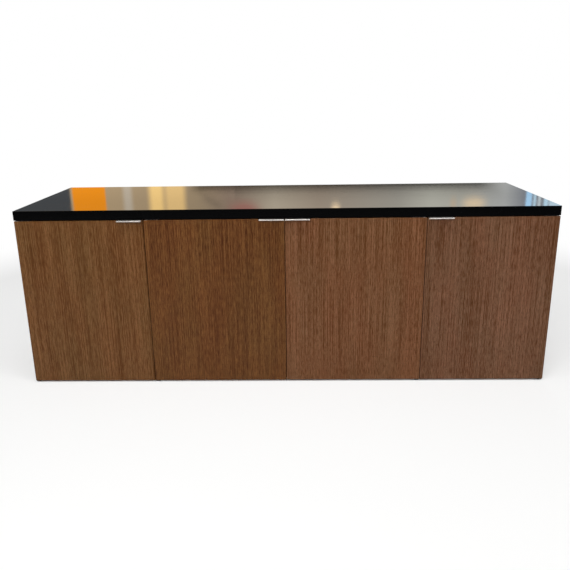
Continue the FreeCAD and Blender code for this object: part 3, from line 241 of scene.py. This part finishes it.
class FittingSettings(bpy.types.PropertyGroup):
    """Metal, plastic and plain wood fittings."""
    nickel: colour_property("Nickel", "Colour of the pulls", (0.92, 0.87, 0.82))
    black_steel: colour_property("Blackened steel", "Colour of the hinge leaves",
                                 (0.035, 0.034, 0.034))
    brass: colour_property("Brass", "Colour of the turned brass", (0.66, 0.46, 0.19))
    nylon: colour_property("Nylon", "Colour of the washers", (0.72, 0.70, 0.64))
    plastic: colour_property("Black plastic", "Colour of the catches and glides",
                             (0.022, 0.021, 0.021))
    rubber: colour_property("Bumper", "Colour of the soft bumpers", (0.24, 0.24, 0.22))
    beech: colour_property("Beech", "Colour of the dowels", (0.52, 0.34, 0.18))
    recess_length: FloatProperty(name="Recess length", description="Arm of a driver recess, as a"
                                 " share of the head's radius", default=0.62, min=0, max=1)
    recess_width: FloatProperty(name="Recess width", description="Width of an arm, as a share"
                                " of the head's radius", default=0.30, min=0, max=1)
    recess_depth: FloatProperty(name="Recess depth", description="Depth of the recess, as a share"
                                " of the head's radius", default=0.42, min=0, max=1)
    columns: IntProperty(name="Columns", description="Faces around a screw", default=48, min=12)


class StageSettings(bpy.types.PropertyGroup):
    """Floor, surroundings and lamps."""
    floor: colour_property("Floor", "Colour of the floor", (0.90, 0.90, 0.89))
    floor_radius: FloatProperty(name="Floor radius", description="Middle to edge of the floor",
                                default=14, unit="LENGTH")
    fade_start: FloatProperty(name="Fade start", description="Where the floor begins to turn white",
                              default=1.1, unit="LENGTH")
    fade_end: FloatProperty(name="Fade end", description="Where the floor is wholly white",
                            default=2.6, unit="LENGTH")
    shadow_lift: FloatProperty(name="Shadow lift", description="Share of white over the shadow",
                               default=0.55, min=0, max=1, subtype="FACTOR")
    ambient: FloatProperty(name="Ambient", description="Strength of the light from all around",
                           default=0.20, min=0)
    behind_camera: FloatProperty(name="Behind the camera", description="Brightness that gloss"
                                 " mirrors from the camera's side", default=0.2, min=0)
    beside: FloatProperty(name="Beside", description="Brightness that gloss mirrors from both ends",
                          default=0.4, min=0)
    key_power: FloatProperty(name="Key", description="Power of the softbox at the upper left",
                             default=67, min=0, unit="POWER")
    fill_power: FloatProperty(name="Fill", description="Power of the softbox at the right",
                              default=24, min=0, unit="POWER")
    top_power: FloatProperty(name="Top", description="Power of the softbox overhead",
                             default=40, min=0, unit="POWER")
    rear_power: FloatProperty(name="Rear", description="Power of the softbox behind the credenza",
                              default=30, min=0, unit="POWER")


class CameraSettings(bpy.types.PropertyGroup):
    """The camera, at eye height in front of the credenza."""
    place: FloatVectorProperty(name="Place", description="Where the camera stands",
                               default=(0.0407, -2.0695, 0.9969), subtype="TRANSLATION")
    yaw: FloatProperty(name="Yaw", description="Turn to the right", default=math.radians(-1.256),
                       subtype="ANGLE")
    pitch: FloatProperty(name="Pitch", description="Tilt downwards", default=math.radians(14.822),
                         subtype="ANGLE")
    roll: FloatProperty(name="Roll", description="Turn about the line of sight",
                        default=math.radians(-0.8447), subtype="ANGLE")
    lens: FloatProperty(name="Focal length", description="Focal length on a 36 mm sensor",
                        default=35.29, unit="CAMERA")
    shift: FloatProperty(name="Shift", description="Vertical shift of the lens", default=-0.0723)


def node(tree, kind, inputs=(), **settings):
    """A shader node; inputs pairs a socket's name or number with a value or another socket."""
    made = tree.nodes.new(kind)
    for key, value in settings.items():
        setattr(made, key, value)
    for key, value in dict(inputs).items():
        if isinstance(value, bpy.types.NodeSocket):
            tree.links.new(value, made.inputs[key])
        else:
            made.inputs[key].default_value = value
    return made


def calculate(tree, operation, first, second=0.0):
    """The result of a sum on one or two numbers or sockets."""
    return node(tree, "ShaderNodeMath", {0: first, 1: second}, operation=operation).outputs[0]


def fit_range(tree, value, low, high, out_low=0.0, out_high=1.0, smooth=False):
    """A value carried from one range to another and held at its ends."""
    made = node(tree, "ShaderNodeMapRange",
                {"Value": value, "From Min": low, "From Max": high, "To Min": out_low,
                 "To Max": out_high}, interpolation_type="SMOOTHSTEP" if smooth else "LINEAR")
    return made.outputs["Result"]


def fade_out(tree, value, start, end):
    """A share that falls smoothly from one to nothing between two values."""
    return fit_range(tree, value, start, end, 1.0, 0.0, True)


def blend_colours(tree, share, first, second, blend_type="MIX"):
    """Two colours mixed by a share."""
    made = node(tree, "ShaderNodeMix", data_type="RGBA", blend_type=blend_type)
    for key, value in (("Factor_Float", share), ("A_Color", first), ("B_Color", second)):
        socket = next(item for item in made.inputs if item.identifier == key)
        if isinstance(value, bpy.types.NodeSocket):
            tree.links.new(value, socket)
        else:
            socket.default_value = value
    return next(item for item in made.outputs if item.identifier == "Result_Color")


def mix_shaders(tree, share, first, second):
    """Two shaders mixed by a share."""
    return node(tree, "ShaderNodeMixShader", {0: share, 1: first, 2: second}).outputs[0]


def background(tree, colour, strength):
    """Light that comes from the surroundings."""
    return node(tree, "ShaderNodeBackground", {"Color": colour, "Strength": strength}).outputs[0]


def opaque(colour, gain=1.0):
    """A colour with four parts, made lighter or darker."""
    return (*(min(1.0, part * gain) for part in colour), 1.0)


def start_material(name):
    """A new material without a surface; its tree and object coordinates are returned too."""
    material = bpy.data.materials.new(name)
    material.use_nodes = True
    tree = material.node_tree
    tree.nodes.clear()
    coordinates = node(tree, "ShaderNodeTexCoord").outputs["Object"]
    return material, tree, coordinates


def end_material(tree, inputs):
    """The surface shader and the output."""
    surface = node(tree, "ShaderNodeBsdfPrincipled", inputs)
    node(tree, "ShaderNodeOutputMaterial", {"Surface": surface.outputs["BSDF"]})


def stretched_noise(tree, coordinates, axis, width, length, seed, detail=2.0):
    """Noise whose grains are as wide and as long as given, with their length along an axis."""
    scale = [1 / width] * 3
    scale[AXES[axis]] = 1 / length
    start = [seed * part for part in SEED_DIRECTION]
    mapped = node(tree, "ShaderNodeMapping",
                  {"Vector": coordinates, "Location": start, "Scale": scale})
    noise = node(tree, "ShaderNodeTexNoise",
                 {"Vector": mapped.outputs["Vector"], "Scale": 1.0, "Detail": detail,
                  "Roughness": NOISE_ROUGHNESS})
    return noise.outputs["Fac"]


def bump(tree, height, strength, distance):
    """The surface's direction, tilted by the slope of a height."""
    made = node(tree, "ShaderNodeBump",
                {"Height": height, "Strength": strength, "Distance": distance})
    return made.outputs["Normal"]


def make_veneer(name, colour, axis, seed, contrast=1.0):
    """Straight-grained veneer under satin lacquer, with its grain along an axis.

    Slow bands, long streaks and short flecks add up to the tone, fine pores darken it, and the
    hue drifts between red and olive over a hand's width.
    """
    look = bpy.context.scene.credenza_veneer
    material, tree, coordinates = start_material(name)
    drift = stretched_noise(tree, coordinates, axis, width=0.09, length=0.30, seed=seed)
    bands = stretched_noise(tree, coordinates, axis, width=0.055, length=1.6, seed=seed + 3)
    streaks = stretched_noise(tree, coordinates, axis, look.streak_width, look.streak_length,
                              seed=seed + 7, detail=1.0)
    flecks = stretched_noise(tree, coordinates, axis, look.fleck_width, look.fleck_length,
                             seed=seed + 11, detail=3.0)
    pores = stretched_noise(tree, coordinates, axis, look.pore_width, look.pore_length,
                            seed=seed + 17, detail=1.0)
    tone = calculate(tree, "ADD", calculate(tree, "MULTIPLY", bands, BAND_SHARE),
                     calculate(tree, "MULTIPLY", streaks, STREAK_SHARE))
    tone = calculate(tree, "ADD", tone, calculate(tree, "MULTIPLY", flecks, FLECK_SHARE))
    tone = fit_range(tree, tone, low=0.40, high=0.60)
    spread = look.contrast * contrast
    light = [part * (1 + spread * gain) for part, gain in zip(colour, LIGHT_GAINS)]
    dark = [part * (1 - spread * gain) for part, gain in zip(colour, DARK_GAINS)]
    wood = blend_colours(tree, tone, opaque(dark), opaque(light))
    turn = fit_range(tree, drift, low=0.35, high=0.65)
    hue = blend_colours(tree, turn, RED_DRIFT, OLIVE_DRIFT)
    wood = blend_colours(tree, 1.0, wood, hue, "MULTIPLY")
    pore = fit_range(tree, pores, low=0.42, high=0.32)
    wood = blend_colours(tree, calculate(tree, "MULTIPLY", pore, PORE_SHARE), wood,
                         opaque(colour, gain=0.35))
    height = calculate(tree, "SUBTRACT", calculate(tree, "MULTIPLY", flecks, FLECK_HEIGHT), pore)
    roughness = fit_range(tree, tone, 0.0, 1.0, out_low=look.roughness + 0.06,
                          out_high=look.roughness - 0.04)
    end_material(tree, {"Base Color": wood, "Roughness": roughness, "IOR": LACQUER_IOR,
                        "Specular Tint": opaque([look.sheen] * 3),
                        "Normal": bump(tree, height, strength=0.35, distance=0.00012)})
    return material


def make_lacquer():
    """Black semi-gloss lacquer in which the grain below shows as fine lengthwise ripples."""
    look = bpy.context.scene.credenza_lacquer
    material, tree, coordinates = start_material("black_lacquer")
    grain = stretched_noise(tree, coordinates, "X", look.grain_width, look.grain_length,
                            seed=5, detail=3.0)
    waves = stretched_noise(tree, coordinates, "X", width=0.02, length=0.9, seed=23, detail=1.0)
    haze = stretched_noise(tree, coordinates, "X", width=0.08, length=0.3, seed=31, detail=4.0)
    dust = stretched_noise(tree, coordinates, "X", width=0.0012, length=0.0012, seed=37,
                           detail=1.0)
    speck = fit_range(tree, dust, low=0.72, high=0.80)
    colour = blend_colours(tree, calculate(tree, "MULTIPLY", speck, DUST_SHARE),
                           opaque(look.colour), DUST_COLOUR)
    height = calculate(tree, "ADD", grain, calculate(tree, "MULTIPLY", waves, WAVE_HEIGHT))
    roughness = fit_range(tree, haze, 0.3, 0.7, out_low=look.roughness - 0.015,
                          out_high=look.roughness + 0.02)
    end_material(tree, {"Base Color": colour, "Roughness": roughness, "IOR": LACQUER_IOR,
                        "Specular Tint": opaque([look.sheen] * 3),
                        "Normal": bump(tree, height, strength=0.5, distance=look.grain_height)})
    return material


def make_metal(name, colour, roughness, scratch_length, axis="X"):
    """Metal with fine scratches along an axis; short scratches make it look plated or turned."""
    material, tree, coordinates = start_material(name)
    scratches = stretched_noise(tree, coordinates, axis, width=0.0003, length=scratch_length,
                                seed=2)
    clouds = stretched_noise(tree, coordinates, axis, width=0.006, length=0.012, seed=13,
                             detail=3.0)
    tint = blend_colours(tree, fit_range(tree, clouds, low=0.3, high=0.7),
                         opaque(colour, gain=0.90), opaque(colour, gain=1.06))
    rough = fit_range(tree, scratches, 0.25, 0.75, out_low=roughness - 0.06,
                      out_high=roughness + 0.08)
    end_material(tree, {"Base Color": tint, "Metallic": 1.0, "Roughness": rough,
                        "Normal": bump(tree, scratches, strength=0.25, distance=0.00003)})
    return material


def make_moulded(name, colour, roughness):
    """Moulded plastic or rubber with a fine even texture and faint clouds of tone."""
    material, tree, coordinates = start_material(name)
    texture = stretched_noise(tree, coordinates, "Z", width=0.0005, length=0.0005, seed=4)
    clouds = stretched_noise(tree, coordinates, "Z", width=0.01, length=0.01, seed=9)
    tint = blend_colours(tree, fit_range(tree, clouds, low=0.3, high=0.7),
                         opaque(colour, gain=0.92), opaque(colour, gain=1.06))
    rough = fit_range(tree, texture, 0.3, 0.7, out_low=roughness - 0.05,
                      out_high=roughness + 0.05)
    end_material(tree, {"Base Color": tint, "Roughness": rough,
                        "Normal": bump(tree, texture, strength=0.3, distance=0.00004)})
    return material


def dress(names, material):
    """Give a material to CAD nodes."""
    for name in names:
        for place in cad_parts[name].material_slots:
            place.material = material


def separate_solids(name):
    """The corner points of each separate solid of a CAD node.

    Corners at one place share a number, and each takes the lowest number of its triangles
    until no number changes, so that every solid ends with a number of its own.
    """
    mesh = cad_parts[name].data
    corners = np.empty(len(mesh.vertices) * 3, np.float32)
    mesh.vertices.foreach_get("co", corners)
    loops = np.empty(len(mesh.loops), np.int32)
    mesh.loops.foreach_get("vertex_index", loops)
    places, number = np.unique(corners.reshape(-1, 3).round(6), axis=0, return_inverse=True)
    triangles = number.reshape(-1)[loops].reshape(-1, 3)
    labels = np.arange(len(places))
    settled = False
    while not settled:
        spread = labels.copy()
        np.minimum.at(spread, triangles, labels[triangles].min(1)[:, None])
        settled = bool((spread == labels).all())
        labels = spread
    return [places[labels == label] for label in np.unique(labels)]


def read_screw(points):
    """A screw's head centre, outward direction, head radius and length, from its corner points."""
    low, high = points.min(0), points.max(0)
    middle = (low + high) / 2
    along = int(np.argmax(high - low))
    across = np.delete(points - middle, along, axis=1)
    radii = np.hypot(across[:, 0], across[:, 1])
    head_level = points[np.argmax(radii), along]
    outward = np.zeros(3)
    outward[along] = np.sign(head_level - middle[along])
    middle[along] = head_level
    return middle, outward, radii.max(), (high - low)[along]


def screw_surface(radius, length, columns, fittings):
    """Points of a countersunk screw, as rings of points from its tip to the middle of its head.

    Ring by ring the radius follows point, shank and 90 degree head. On the head's face a height
    is taken off that is greatest on the two lines of a cross and falls off evenly beside them
    and towards the ends of its arms.
    """
    shank = radius / 2
    face_radii = radius * np.linspace(1, 0, HEAD_RINGS + 1)[:-1]
    point_radii = [share * shank for share, rise in SCREW_POINT]
    point_heights = [-length + rise * length for share, rise in SCREW_POINT]
    radii = np.concatenate((point_radii, [shank], face_radii, [LAST_RADIUS]))
    heights = np.concatenate((point_heights, [-shank], np.zeros(len(face_radii) + 1)))
    turns = np.linspace(0, 2 * math.pi, columns, endpoint=False)
    x = radii[:, None] * np.cos(turns)
    y = radii[:, None] * np.sin(turns)
    z = np.repeat(heights[:, None], columns, axis=1)
    near = np.minimum(abs(x), abs(y)) / (fittings.recess_width * radius / 2)
    far = np.maximum(abs(x), abs(y)) / (fittings.recess_length * radius)
    cross = (np.clip(RECESS_WALL_SLOPE * (1 - near), 0, 1)
             * np.clip(RECESS_END_SLOPE * (1 - far), 0, 1))
    on_face = heights[:, None] == 0
    z = z - np.where(on_face, fittings.recess_depth * radius * cross, 0)
    return np.stack((x, y, z), axis=-1)


def ring_faces(rings, columns):
    """Quads between rings of points, and one face at each end."""
    index = np.arange(rings * columns).reshape(rings, columns)
    beside = np.roll(index, -1, axis=1)
    quads = np.stack((index[:-1], beside[:-1], beside[1:], index[1:]), axis=-1).reshape(-1, 4)
    return quads.tolist() + [index[0, ::-1].tolist(), index[-1].tolist()]


def turned_to(outward):
    """The rotation that takes +Z to a direction along one of the axes."""
    return np.array(Vector((0, 0, 1)).rotation_difference(Vector(outward)).to_matrix())


def make_screws(name, body, material):
    """Screws with a cross-shaped driver recess in place of a CAD node's plain ones."""
    fittings = bpy.context.scene.credenza_fittings
    points, faces = [], []
    for solid in separate_solids(name):
        middle, outward, radius, length = read_screw(solid)
        surface = screw_surface(radius, length, fittings.columns, fittings)
        start = sum(len(part) for part in points)
        points.append(surface.reshape(-1, 3) @ turned_to(outward).T + middle)
        faces += [[start + corner for corner in face] for face in
                  ring_faces(len(surface), fittings.columns)]
    mesh = bpy.data.meshes.new(f"driven_{name}")
    mesh.from_pydata(np.concatenate(points).tolist(), [], faces)
    mesh.update()
    piece = bpy.data.objects.new(f"driven_{name}", mesh)
    bpy.context.scene.collection.objects.link(piece)
    mesh.materials.append(material)
    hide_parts(name)
    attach(piece, body)


def plated_steel():
    """The plain zinc-plated steel that comes with model.glb, for screws, pins, pegs and strikes."""
    return bpy.data.materials["plated_steel"]


class CREDENZA_OT_doors(bpy.types.Operator):
    """Veneer the four doors, each from its own run of the same wood; the outer right door's bluer
    tint is painted light
    """
    bl_idname = "credenza.doors"
    bl_label = "Veneer the doors"
    bl_options = {"REGISTER", "UNDO"}

    def execute(self, context):
        look = context.scene.credenza_veneer
        for number, door in enumerate(DOORS):
            veneer = make_veneer(f"{door}_veneer", getattr(look, door), "Z",
                                 DOOR_SEED + DOOR_SEED_STEP * number,
                                 look.door_contrasts[number])
            dress([f"{door}_door"], veneer)
        return {"FINISHED"}


class CREDENZA_OT_slab(bpy.types.Operator):
    """Lacquer the top slab"""
    bl_idname = "credenza.slab"
    bl_label = "Lacquer the slab"
    bl_options = {"REGISTER", "UNDO"}

    def execute(self, context):
        dress(["top_slab"], make_lacquer())
        return {"FINISHED"}


class CREDENZA_OT_case(bpy.types.Operator):
    """Veneer the case and its shelves: upright grain on upright panels, lengthwise on level ones"""
    bl_idname = "credenza.case"
    bl_label = "Veneer the case"
    bl_options = {"REGISTER", "UNDO"}

    def execute(self, context):
        colour = context.scene.credenza_veneer.case
        dress(UPRIGHT_PANELS, make_veneer("upright_veneer", colour, "Z", UPRIGHT_SEED))
        dress(LEVEL_PANELS, make_veneer("level_veneer", colour, "X", LEVEL_SEED))
        return {"FINISHED"}


class CREDENZA_OT_pulls(bpy.types.Operator):
    """Finish the tab pulls in satin nickel, brushed lengthwise"""
    bl_idname = "credenza.pulls"
    bl_label = "Finish the pulls"
    bl_options = {"REGISTER", "UNDO"}

    def execute(self, context):
        colour = context.scene.credenza_fittings.nickel
        dress([f"{door}_pull" for door in DOORS],
              make_metal("satin_nickel", colour, roughness=0.30, scratch_length=0.03))
        return {"FINISHED"}


class CREDENZA_OT_hinges(bpy.types.Operator):
    """Finish the hinge leaves, pins and washers"""
    bl_idname = "credenza.hinges"
    bl_label = "Finish the hinges"
    bl_options = {"REGISTER", "UNDO"}

    def execute(self, context):
        fittings = context.scene.credenza_fittings
        leaves = [f"{door}_door_leaves" for door in DOORS]
        dress([*leaves, "upper_case_leaves", "lower_case_leaves"],
              make_metal("blackened_steel", fittings.black_steel, roughness=0.48,
                         scratch_length=0.002))
        dress(["pivot_pins", "stop_pins"], plated_steel())
        dress(["pivot_washers"], make_moulded("washer_nylon", fittings.nylon, roughness=0.42))
        return {"FINISHED"}


class CREDENZA_OT_screws(bpy.types.Operator):
    """Make the screws with cross-shaped driver recesses"""
    bl_idname = "credenza.screws"
    bl_label = "Drive the screws"
    bl_options = {"REGISTER", "UNDO"}

    def execute(self, context):
        for name in ("slab_screws", "back_screws", "case_leaf_screws"):
            make_screws(name, "case", plated_steel())
        for door in DOORS:
            make_screws(f"{door}_pull_screws", f"{door}_door", plated_steel())
            make_screws(f"{door}_leaf_screws", f"{door}_door", plated_steel())
        return {"FINISHED"}


class CREDENZA_OT_fittings(bpy.types.Operator):
    """Finish glides, inserts, shelf pegs, dowels, catches, strikes and bumpers"""
    bl_idname = "credenza.fittings"
    bl_label = "Finish the fittings"
    bl_options = {"REGISTER", "UNDO"}

    def execute(self, context):
        fittings = context.scene.credenza_fittings
        dress(["shelf_pegs", *(f"{door}_catch_strike" for door in DOORS)], plated_steel())
        dress(["glide_inserts"], make_metal("turned_brass", fittings.brass, roughness=0.30,
                                            scratch_length=0.001, axis="Z"))
        dress(["levelling_glides", "door_catches"],
              make_moulded("black_plastic", fittings.plastic, roughness=0.38))
        dress(["door_bumpers"], make_moulded("soft_bumper", fittings.rubber, roughness=0.6))
        dress(["case_dowels"], make_moulded("beech", fittings.beech, roughness=0.6))
        return {"FINISHED"}


def backdrop_colour(tree, heading, steepness):
    """The tones along the heading, with the upright glows and then the patches over them."""
    ramp = node(tree, "ShaderNodeValToRGB", {"Fac": fit_range(tree, heading, *BACKDROP_SPAN)})
    while len(ramp.color_ramp.elements) < len(BACKDROP_TONES):
        ramp.color_ramp.elements.new(0.5)
    for element, (position, colour) in zip(ramp.color_ramp.elements, BACKDROP_TONES):
        element.position = position
        element.color = (*colour, 1)
    mirrored = ramp.outputs["Color"]
    level = calculate(tree, "MULTIPLY", fit_range(tree, steepness, *GLOW_FOOT, smooth=True),
                      fade_out(tree, steepness, *GLOW_HEAD))
    for middle, half_width, edge, colour in GLOWS:
        away = calculate(tree, "ABSOLUTE", calculate(tree, "SUBTRACT", heading, middle))
        share = fade_out(tree, away, half_width, half_width + edge)
        share = calculate(tree, "MULTIPLY", share, level)
        mirrored = blend_colours(tree, share, mirrored, (*colour, 1))
    place = node(tree, "ShaderNodeCombineXYZ", {"X": heading, "Y": steepness}).outputs[0]
    for across, up, half_width, half_height, turn, colour in PATCHES:
        inside = node(tree, "ShaderNodeMapping",
                      {"Vector": place, "Location": (across, up, 0), "Rotation": (0, 0, turn),
                       "Scale": (half_width, half_height, 1)}, vector_type="TEXTURE")
        away = node(tree, "ShaderNodeVectorMath", {0: inside.outputs[0]}, operation="LENGTH")
        share = fade_out(tree, away.outputs["Value"], PATCH_CORE, 1.0)
        mirrored = blend_colours(tree, share, mirrored, (*colour, 1))
    return mirrored


def backdrop_strength(tree, heading, steepness):
    """The rim's strength times the slope's, and no less than the strength at the right."""
    rim = calculate(tree, "MAXIMUM",
                    fit_range(tree, steepness, *RIM_STEEPNESS, RIM_STRENGTH, 1.0, True),
                    fade_out(tree, heading, *RIM_HEADING))
    slope = calculate(tree, "MAXIMUM",
                      fit_range(tree, steepness, *SLOPE_STEEPNESS, *SLOPE_STRENGTHS),
                      fade_out(tree, heading, *SLOPE_HEADING))
    return calculate(tree, "MAXIMUM", calculate(tree, "MULTIPLY", rim, slope),
                     fit_range(tree, heading, *RIGHT_HEADING, 0.0, RIGHT_STRENGTH, True))


def set_world(scene, stage):
    """White to the eye, the backdrop to gloss, and plain ambient light to everything else.

    Past the backdrop's ends gloss mirrors a plain grey, and on the camera's side a dim one.
    """
    world = bpy.data.worlds.new("studio")
    scene.world = world
    world.use_nodes = True
    tree = world.node_tree
    tree.nodes.clear()
    direction = node(tree, "ShaderNodeTexCoord").outputs["Generated"]
    parts = node(tree, "ShaderNodeSeparateXYZ", {"Vector": direction})
    heading = calculate(tree, "ARCTAN2", parts.outputs["X"], parts.outputs["Y"])
    steepness = calculate(tree, "DIVIDE", parts.outputs["Z"], parts.outputs["Y"])
    aside = fit_range(tree, calculate(tree, "ABSOLUTE", heading), *END_HEADING, smooth=True)
    strength = calculate(tree, "MAXIMUM", backdrop_strength(tree, heading, steepness), aside)
    mirrored = blend_colours(tree, aside, backdrop_colour(tree, heading, steepness),
                             opaque([stage.beside] * 3))
    ahead = fit_range(tree, parts.outputs["Y"], *AHEAD, smooth=True)
    mirrored = blend_colours(tree, ahead, opaque([stage.behind_camera] * 3), mirrored)
    path = node(tree, "ShaderNodeLightPath")
    lit = mix_shaders(tree, path.outputs["Is Glossy Ray"],
                      background(tree, WHITE, stage.ambient),
                      background(tree, mirrored, strength))
    seen = calculate(tree, "MAXIMUM", path.outputs["Is Camera Ray"],
                     path.outputs["Is Transmission Ray"])
    shown = mix_shaders(tree, seen, lit, background(tree, WHITE, 1.0))
    node(tree, "ShaderNodeOutputWorld", {"Surface": shown})


def outside_footprint(tree, coordinates):
    """How far a point of the floor lies outside the rectangle below the slab, negative inside."""
    middle = (SLAB_LOW + SLAB_HIGH) / 2
    half = (SLAB_HIGH - SLAB_LOW) / 2
    offset = node(tree, "ShaderNodeVectorMath", {0: coordinates, 1: middle}, operation="SUBTRACT")
    size = node(tree, "ShaderNodeVectorMath", {0: offset.outputs[0]}, operation="ABSOLUTE")
    past = node(tree, "ShaderNodeVectorMath", {0: size.outputs[0], 1: half}, operation="SUBTRACT")
    parts = node(tree, "ShaderNodeSeparateXYZ", {"Vector": past.outputs[0]})
    return calculate(tree, "MAXIMUM", parts.outputs["X"], parts.outputs["Y"])


def make_floor(scene, stage):
    """A round floor that keeps the shadow near the credenza and turns white further out."""
    rings = np.array((*FLOOR_RINGS, stage.floor_radius))
    turns = np.linspace(0, 2 * math.pi, FLOOR_COLUMNS, endpoint=False)
    points = np.stack((rings[:, None] * np.cos(turns), rings[:, None] * np.sin(turns),
                       np.zeros((len(rings), len(turns)))), axis=-1).reshape(-1, 3)
    index = np.arange(len(points)).reshape(len(rings), len(turns))
    beside = np.roll(index, -1, axis=1)
    quads = np.stack((index[:-1], index[1:], beside[1:], beside[:-1]), axis=-1).reshape(-1, 4)
    mesh = bpy.data.meshes.new("floor")
    mesh.from_pydata(points.tolist(), [], [index[0].tolist(), *quads.tolist()])
    floor = bpy.data.objects.new("floor", mesh)
    scene.collection.objects.link(floor)
    material, tree, coordinates = start_material("pale_floor")
    distance = node(tree, "ShaderNodeVectorMath", {0: coordinates}, operation="LENGTH")
    fade = fit_range(tree, distance.outputs["Value"], stage.fade_start, stage.fade_end,
                     smooth=True)
    lift = fit_range(tree, outside_footprint(tree, coordinates), *SHADOW_EDGE, 0.0,
                     stage.shadow_lift, True)
    path = node(tree, "ShaderNodeLightPath")
    share = calculate(tree, "MULTIPLY", calculate(tree, "MAXIMUM", fade, lift),
                      path.outputs["Is Camera Ray"])
    paint = node(tree, "ShaderNodeBsdfDiffuse", {"Color": opaque(stage.floor)})
    white = node(tree, "ShaderNodeEmission", {"Color": WHITE, "Strength": 1.0})
    mixed = mix_shaders(tree, share, paint.outputs[0], white.outputs[0])
    node(tree, "ShaderNodeOutputMaterial", {"Surface": mixed})
    mesh.materials.append(material)


def add_softbox(scene, name, place, target, width, height, power, in_gloss):
    """A rectangular lamp that faces a point, and that gloss mirrors or leaves out."""
    lamp = bpy.data.lights.new(name, "AREA")
    lamp.shape = "RECTANGLE"
    lamp.size = width
    lamp.size_y = height
    lamp.energy = power
    holder = bpy.data.objects.new(name, lamp)
    holder.location = place
    holder.visible_glossy = in_gloss
    holder.rotation_mode = "QUATERNION"
    holder.rotation_quaternion = (Vector(target) - Vector(place)).to_track_quat("-Z", "Y")
    scene.collection.objects.link(holder)


def set_camera(scene, view):
    """A camera turned by yaw, pitch and roll, in that order."""
    ahead = Vector((math.sin(view.yaw) * math.cos(view.pitch),
                    math.cos(view.yaw) * math.cos(view.pitch), -math.sin(view.pitch)))
    right = Vector((math.cos(view.yaw), -math.sin(view.yaw), 0))
    above = right.cross(ahead)
    rolled_right = math.cos(view.roll) * right + math.sin(view.roll) * above
    rolled_above = math.cos(view.roll) * above - math.sin(view.roll) * right
    lens = bpy.data.cameras.new("camera")
    lens.lens = view.lens
    lens.shift_y = view.shift
    camera = bpy.data.objects.new("camera", lens)
    turn = Matrix((rolled_right, rolled_above, -ahead)).transposed().to_4x4()
    camera.matrix_world = Matrix.Translation(view.place) @ turn
    scene.collection.objects.link(camera)
    scene.camera = camera


class CREDENZA_OT_stage(bpy.types.Operator):
    """Make the floor, the surroundings, the lamps and the camera"""
    bl_idname = "credenza.stage"
    bl_label = "Set the stage"
    bl_options = {"REGISTER", "UNDO"}

    def execute(self, context):
        scene = context.scene
        stage = scene.credenza_stage
        scene.view_settings.view_transform = "Standard"
        set_world(scene, stage)
        make_floor(scene, stage)
        for name, place, target, width, height, in_gloss in SOFTBOXES:
            power = getattr(stage, f"{name}_power")
            add_softbox(scene, name, place, target, width, height, power, in_gloss)
        set_camera(scene, scene.credenza_camera)
        return {"FINISHED"}


OPERATORS = (CREDENZA_OT_doors, CREDENZA_OT_slab, CREDENZA_OT_case, CREDENZA_OT_pulls,
             CREDENZA_OT_hinges, CREDENZA_OT_screws, CREDENZA_OT_fittings, CREDENZA_OT_stage)
SETTINGS = {"credenza_veneer": VeneerSettings, "credenza_lacquer": LacquerSettings,
            "credenza_fittings": FittingSettings, "credenza_stage": StageSettings,
            "credenza_camera": CameraSettings}


class CREDENZA_PT_sidebar(bpy.types.Panel):
    """Lists the credenza's steps and settings"""
    bl_idname = "CREDENZA_PT_sidebar"
    bl_label = "Credenza"
    bl_space_type = "VIEW_3D"
    bl_region_type = "UI"
    bl_category = "Credenza"

    def draw(self, context):
        for operator in OPERATORS:
            self.layout.operator(operator.bl_idname)
        for name, settings in SETTINGS.items():
            group = self.layout.box()
            for key in settings.__annotations__:
                group.prop(getattr(context.scene, name), key)


def register():
    for kind in (*SETTINGS.values(), *OPERATORS, CREDENZA_PT_sidebar):
        bpy.utils.register_class(kind)
    for name, settings in SETTINGS.items():
        setattr(bpy.types.Scene, name, PointerProperty(type=settings))


def unregister():
    for name in SETTINGS:
        delattr(bpy.types.Scene, name)
    for kind in reversed((*SETTINGS.values(), *OPERATORS, CREDENZA_PT_sidebar)):
        bpy.utils.unregister_class(kind)


def main():
    register()
    bpy.ops.credenza.doors()
    bpy.ops.credenza.slab()
    bpy.ops.credenza.case()
    bpy.ops.credenza.pulls()
    bpy.ops.credenza.hinges()
    bpy.ops.credenza.screws()
    bpy.ops.credenza.fittings()
    bpy.ops.credenza.stage()


if __name__ == "__main__":
    main()
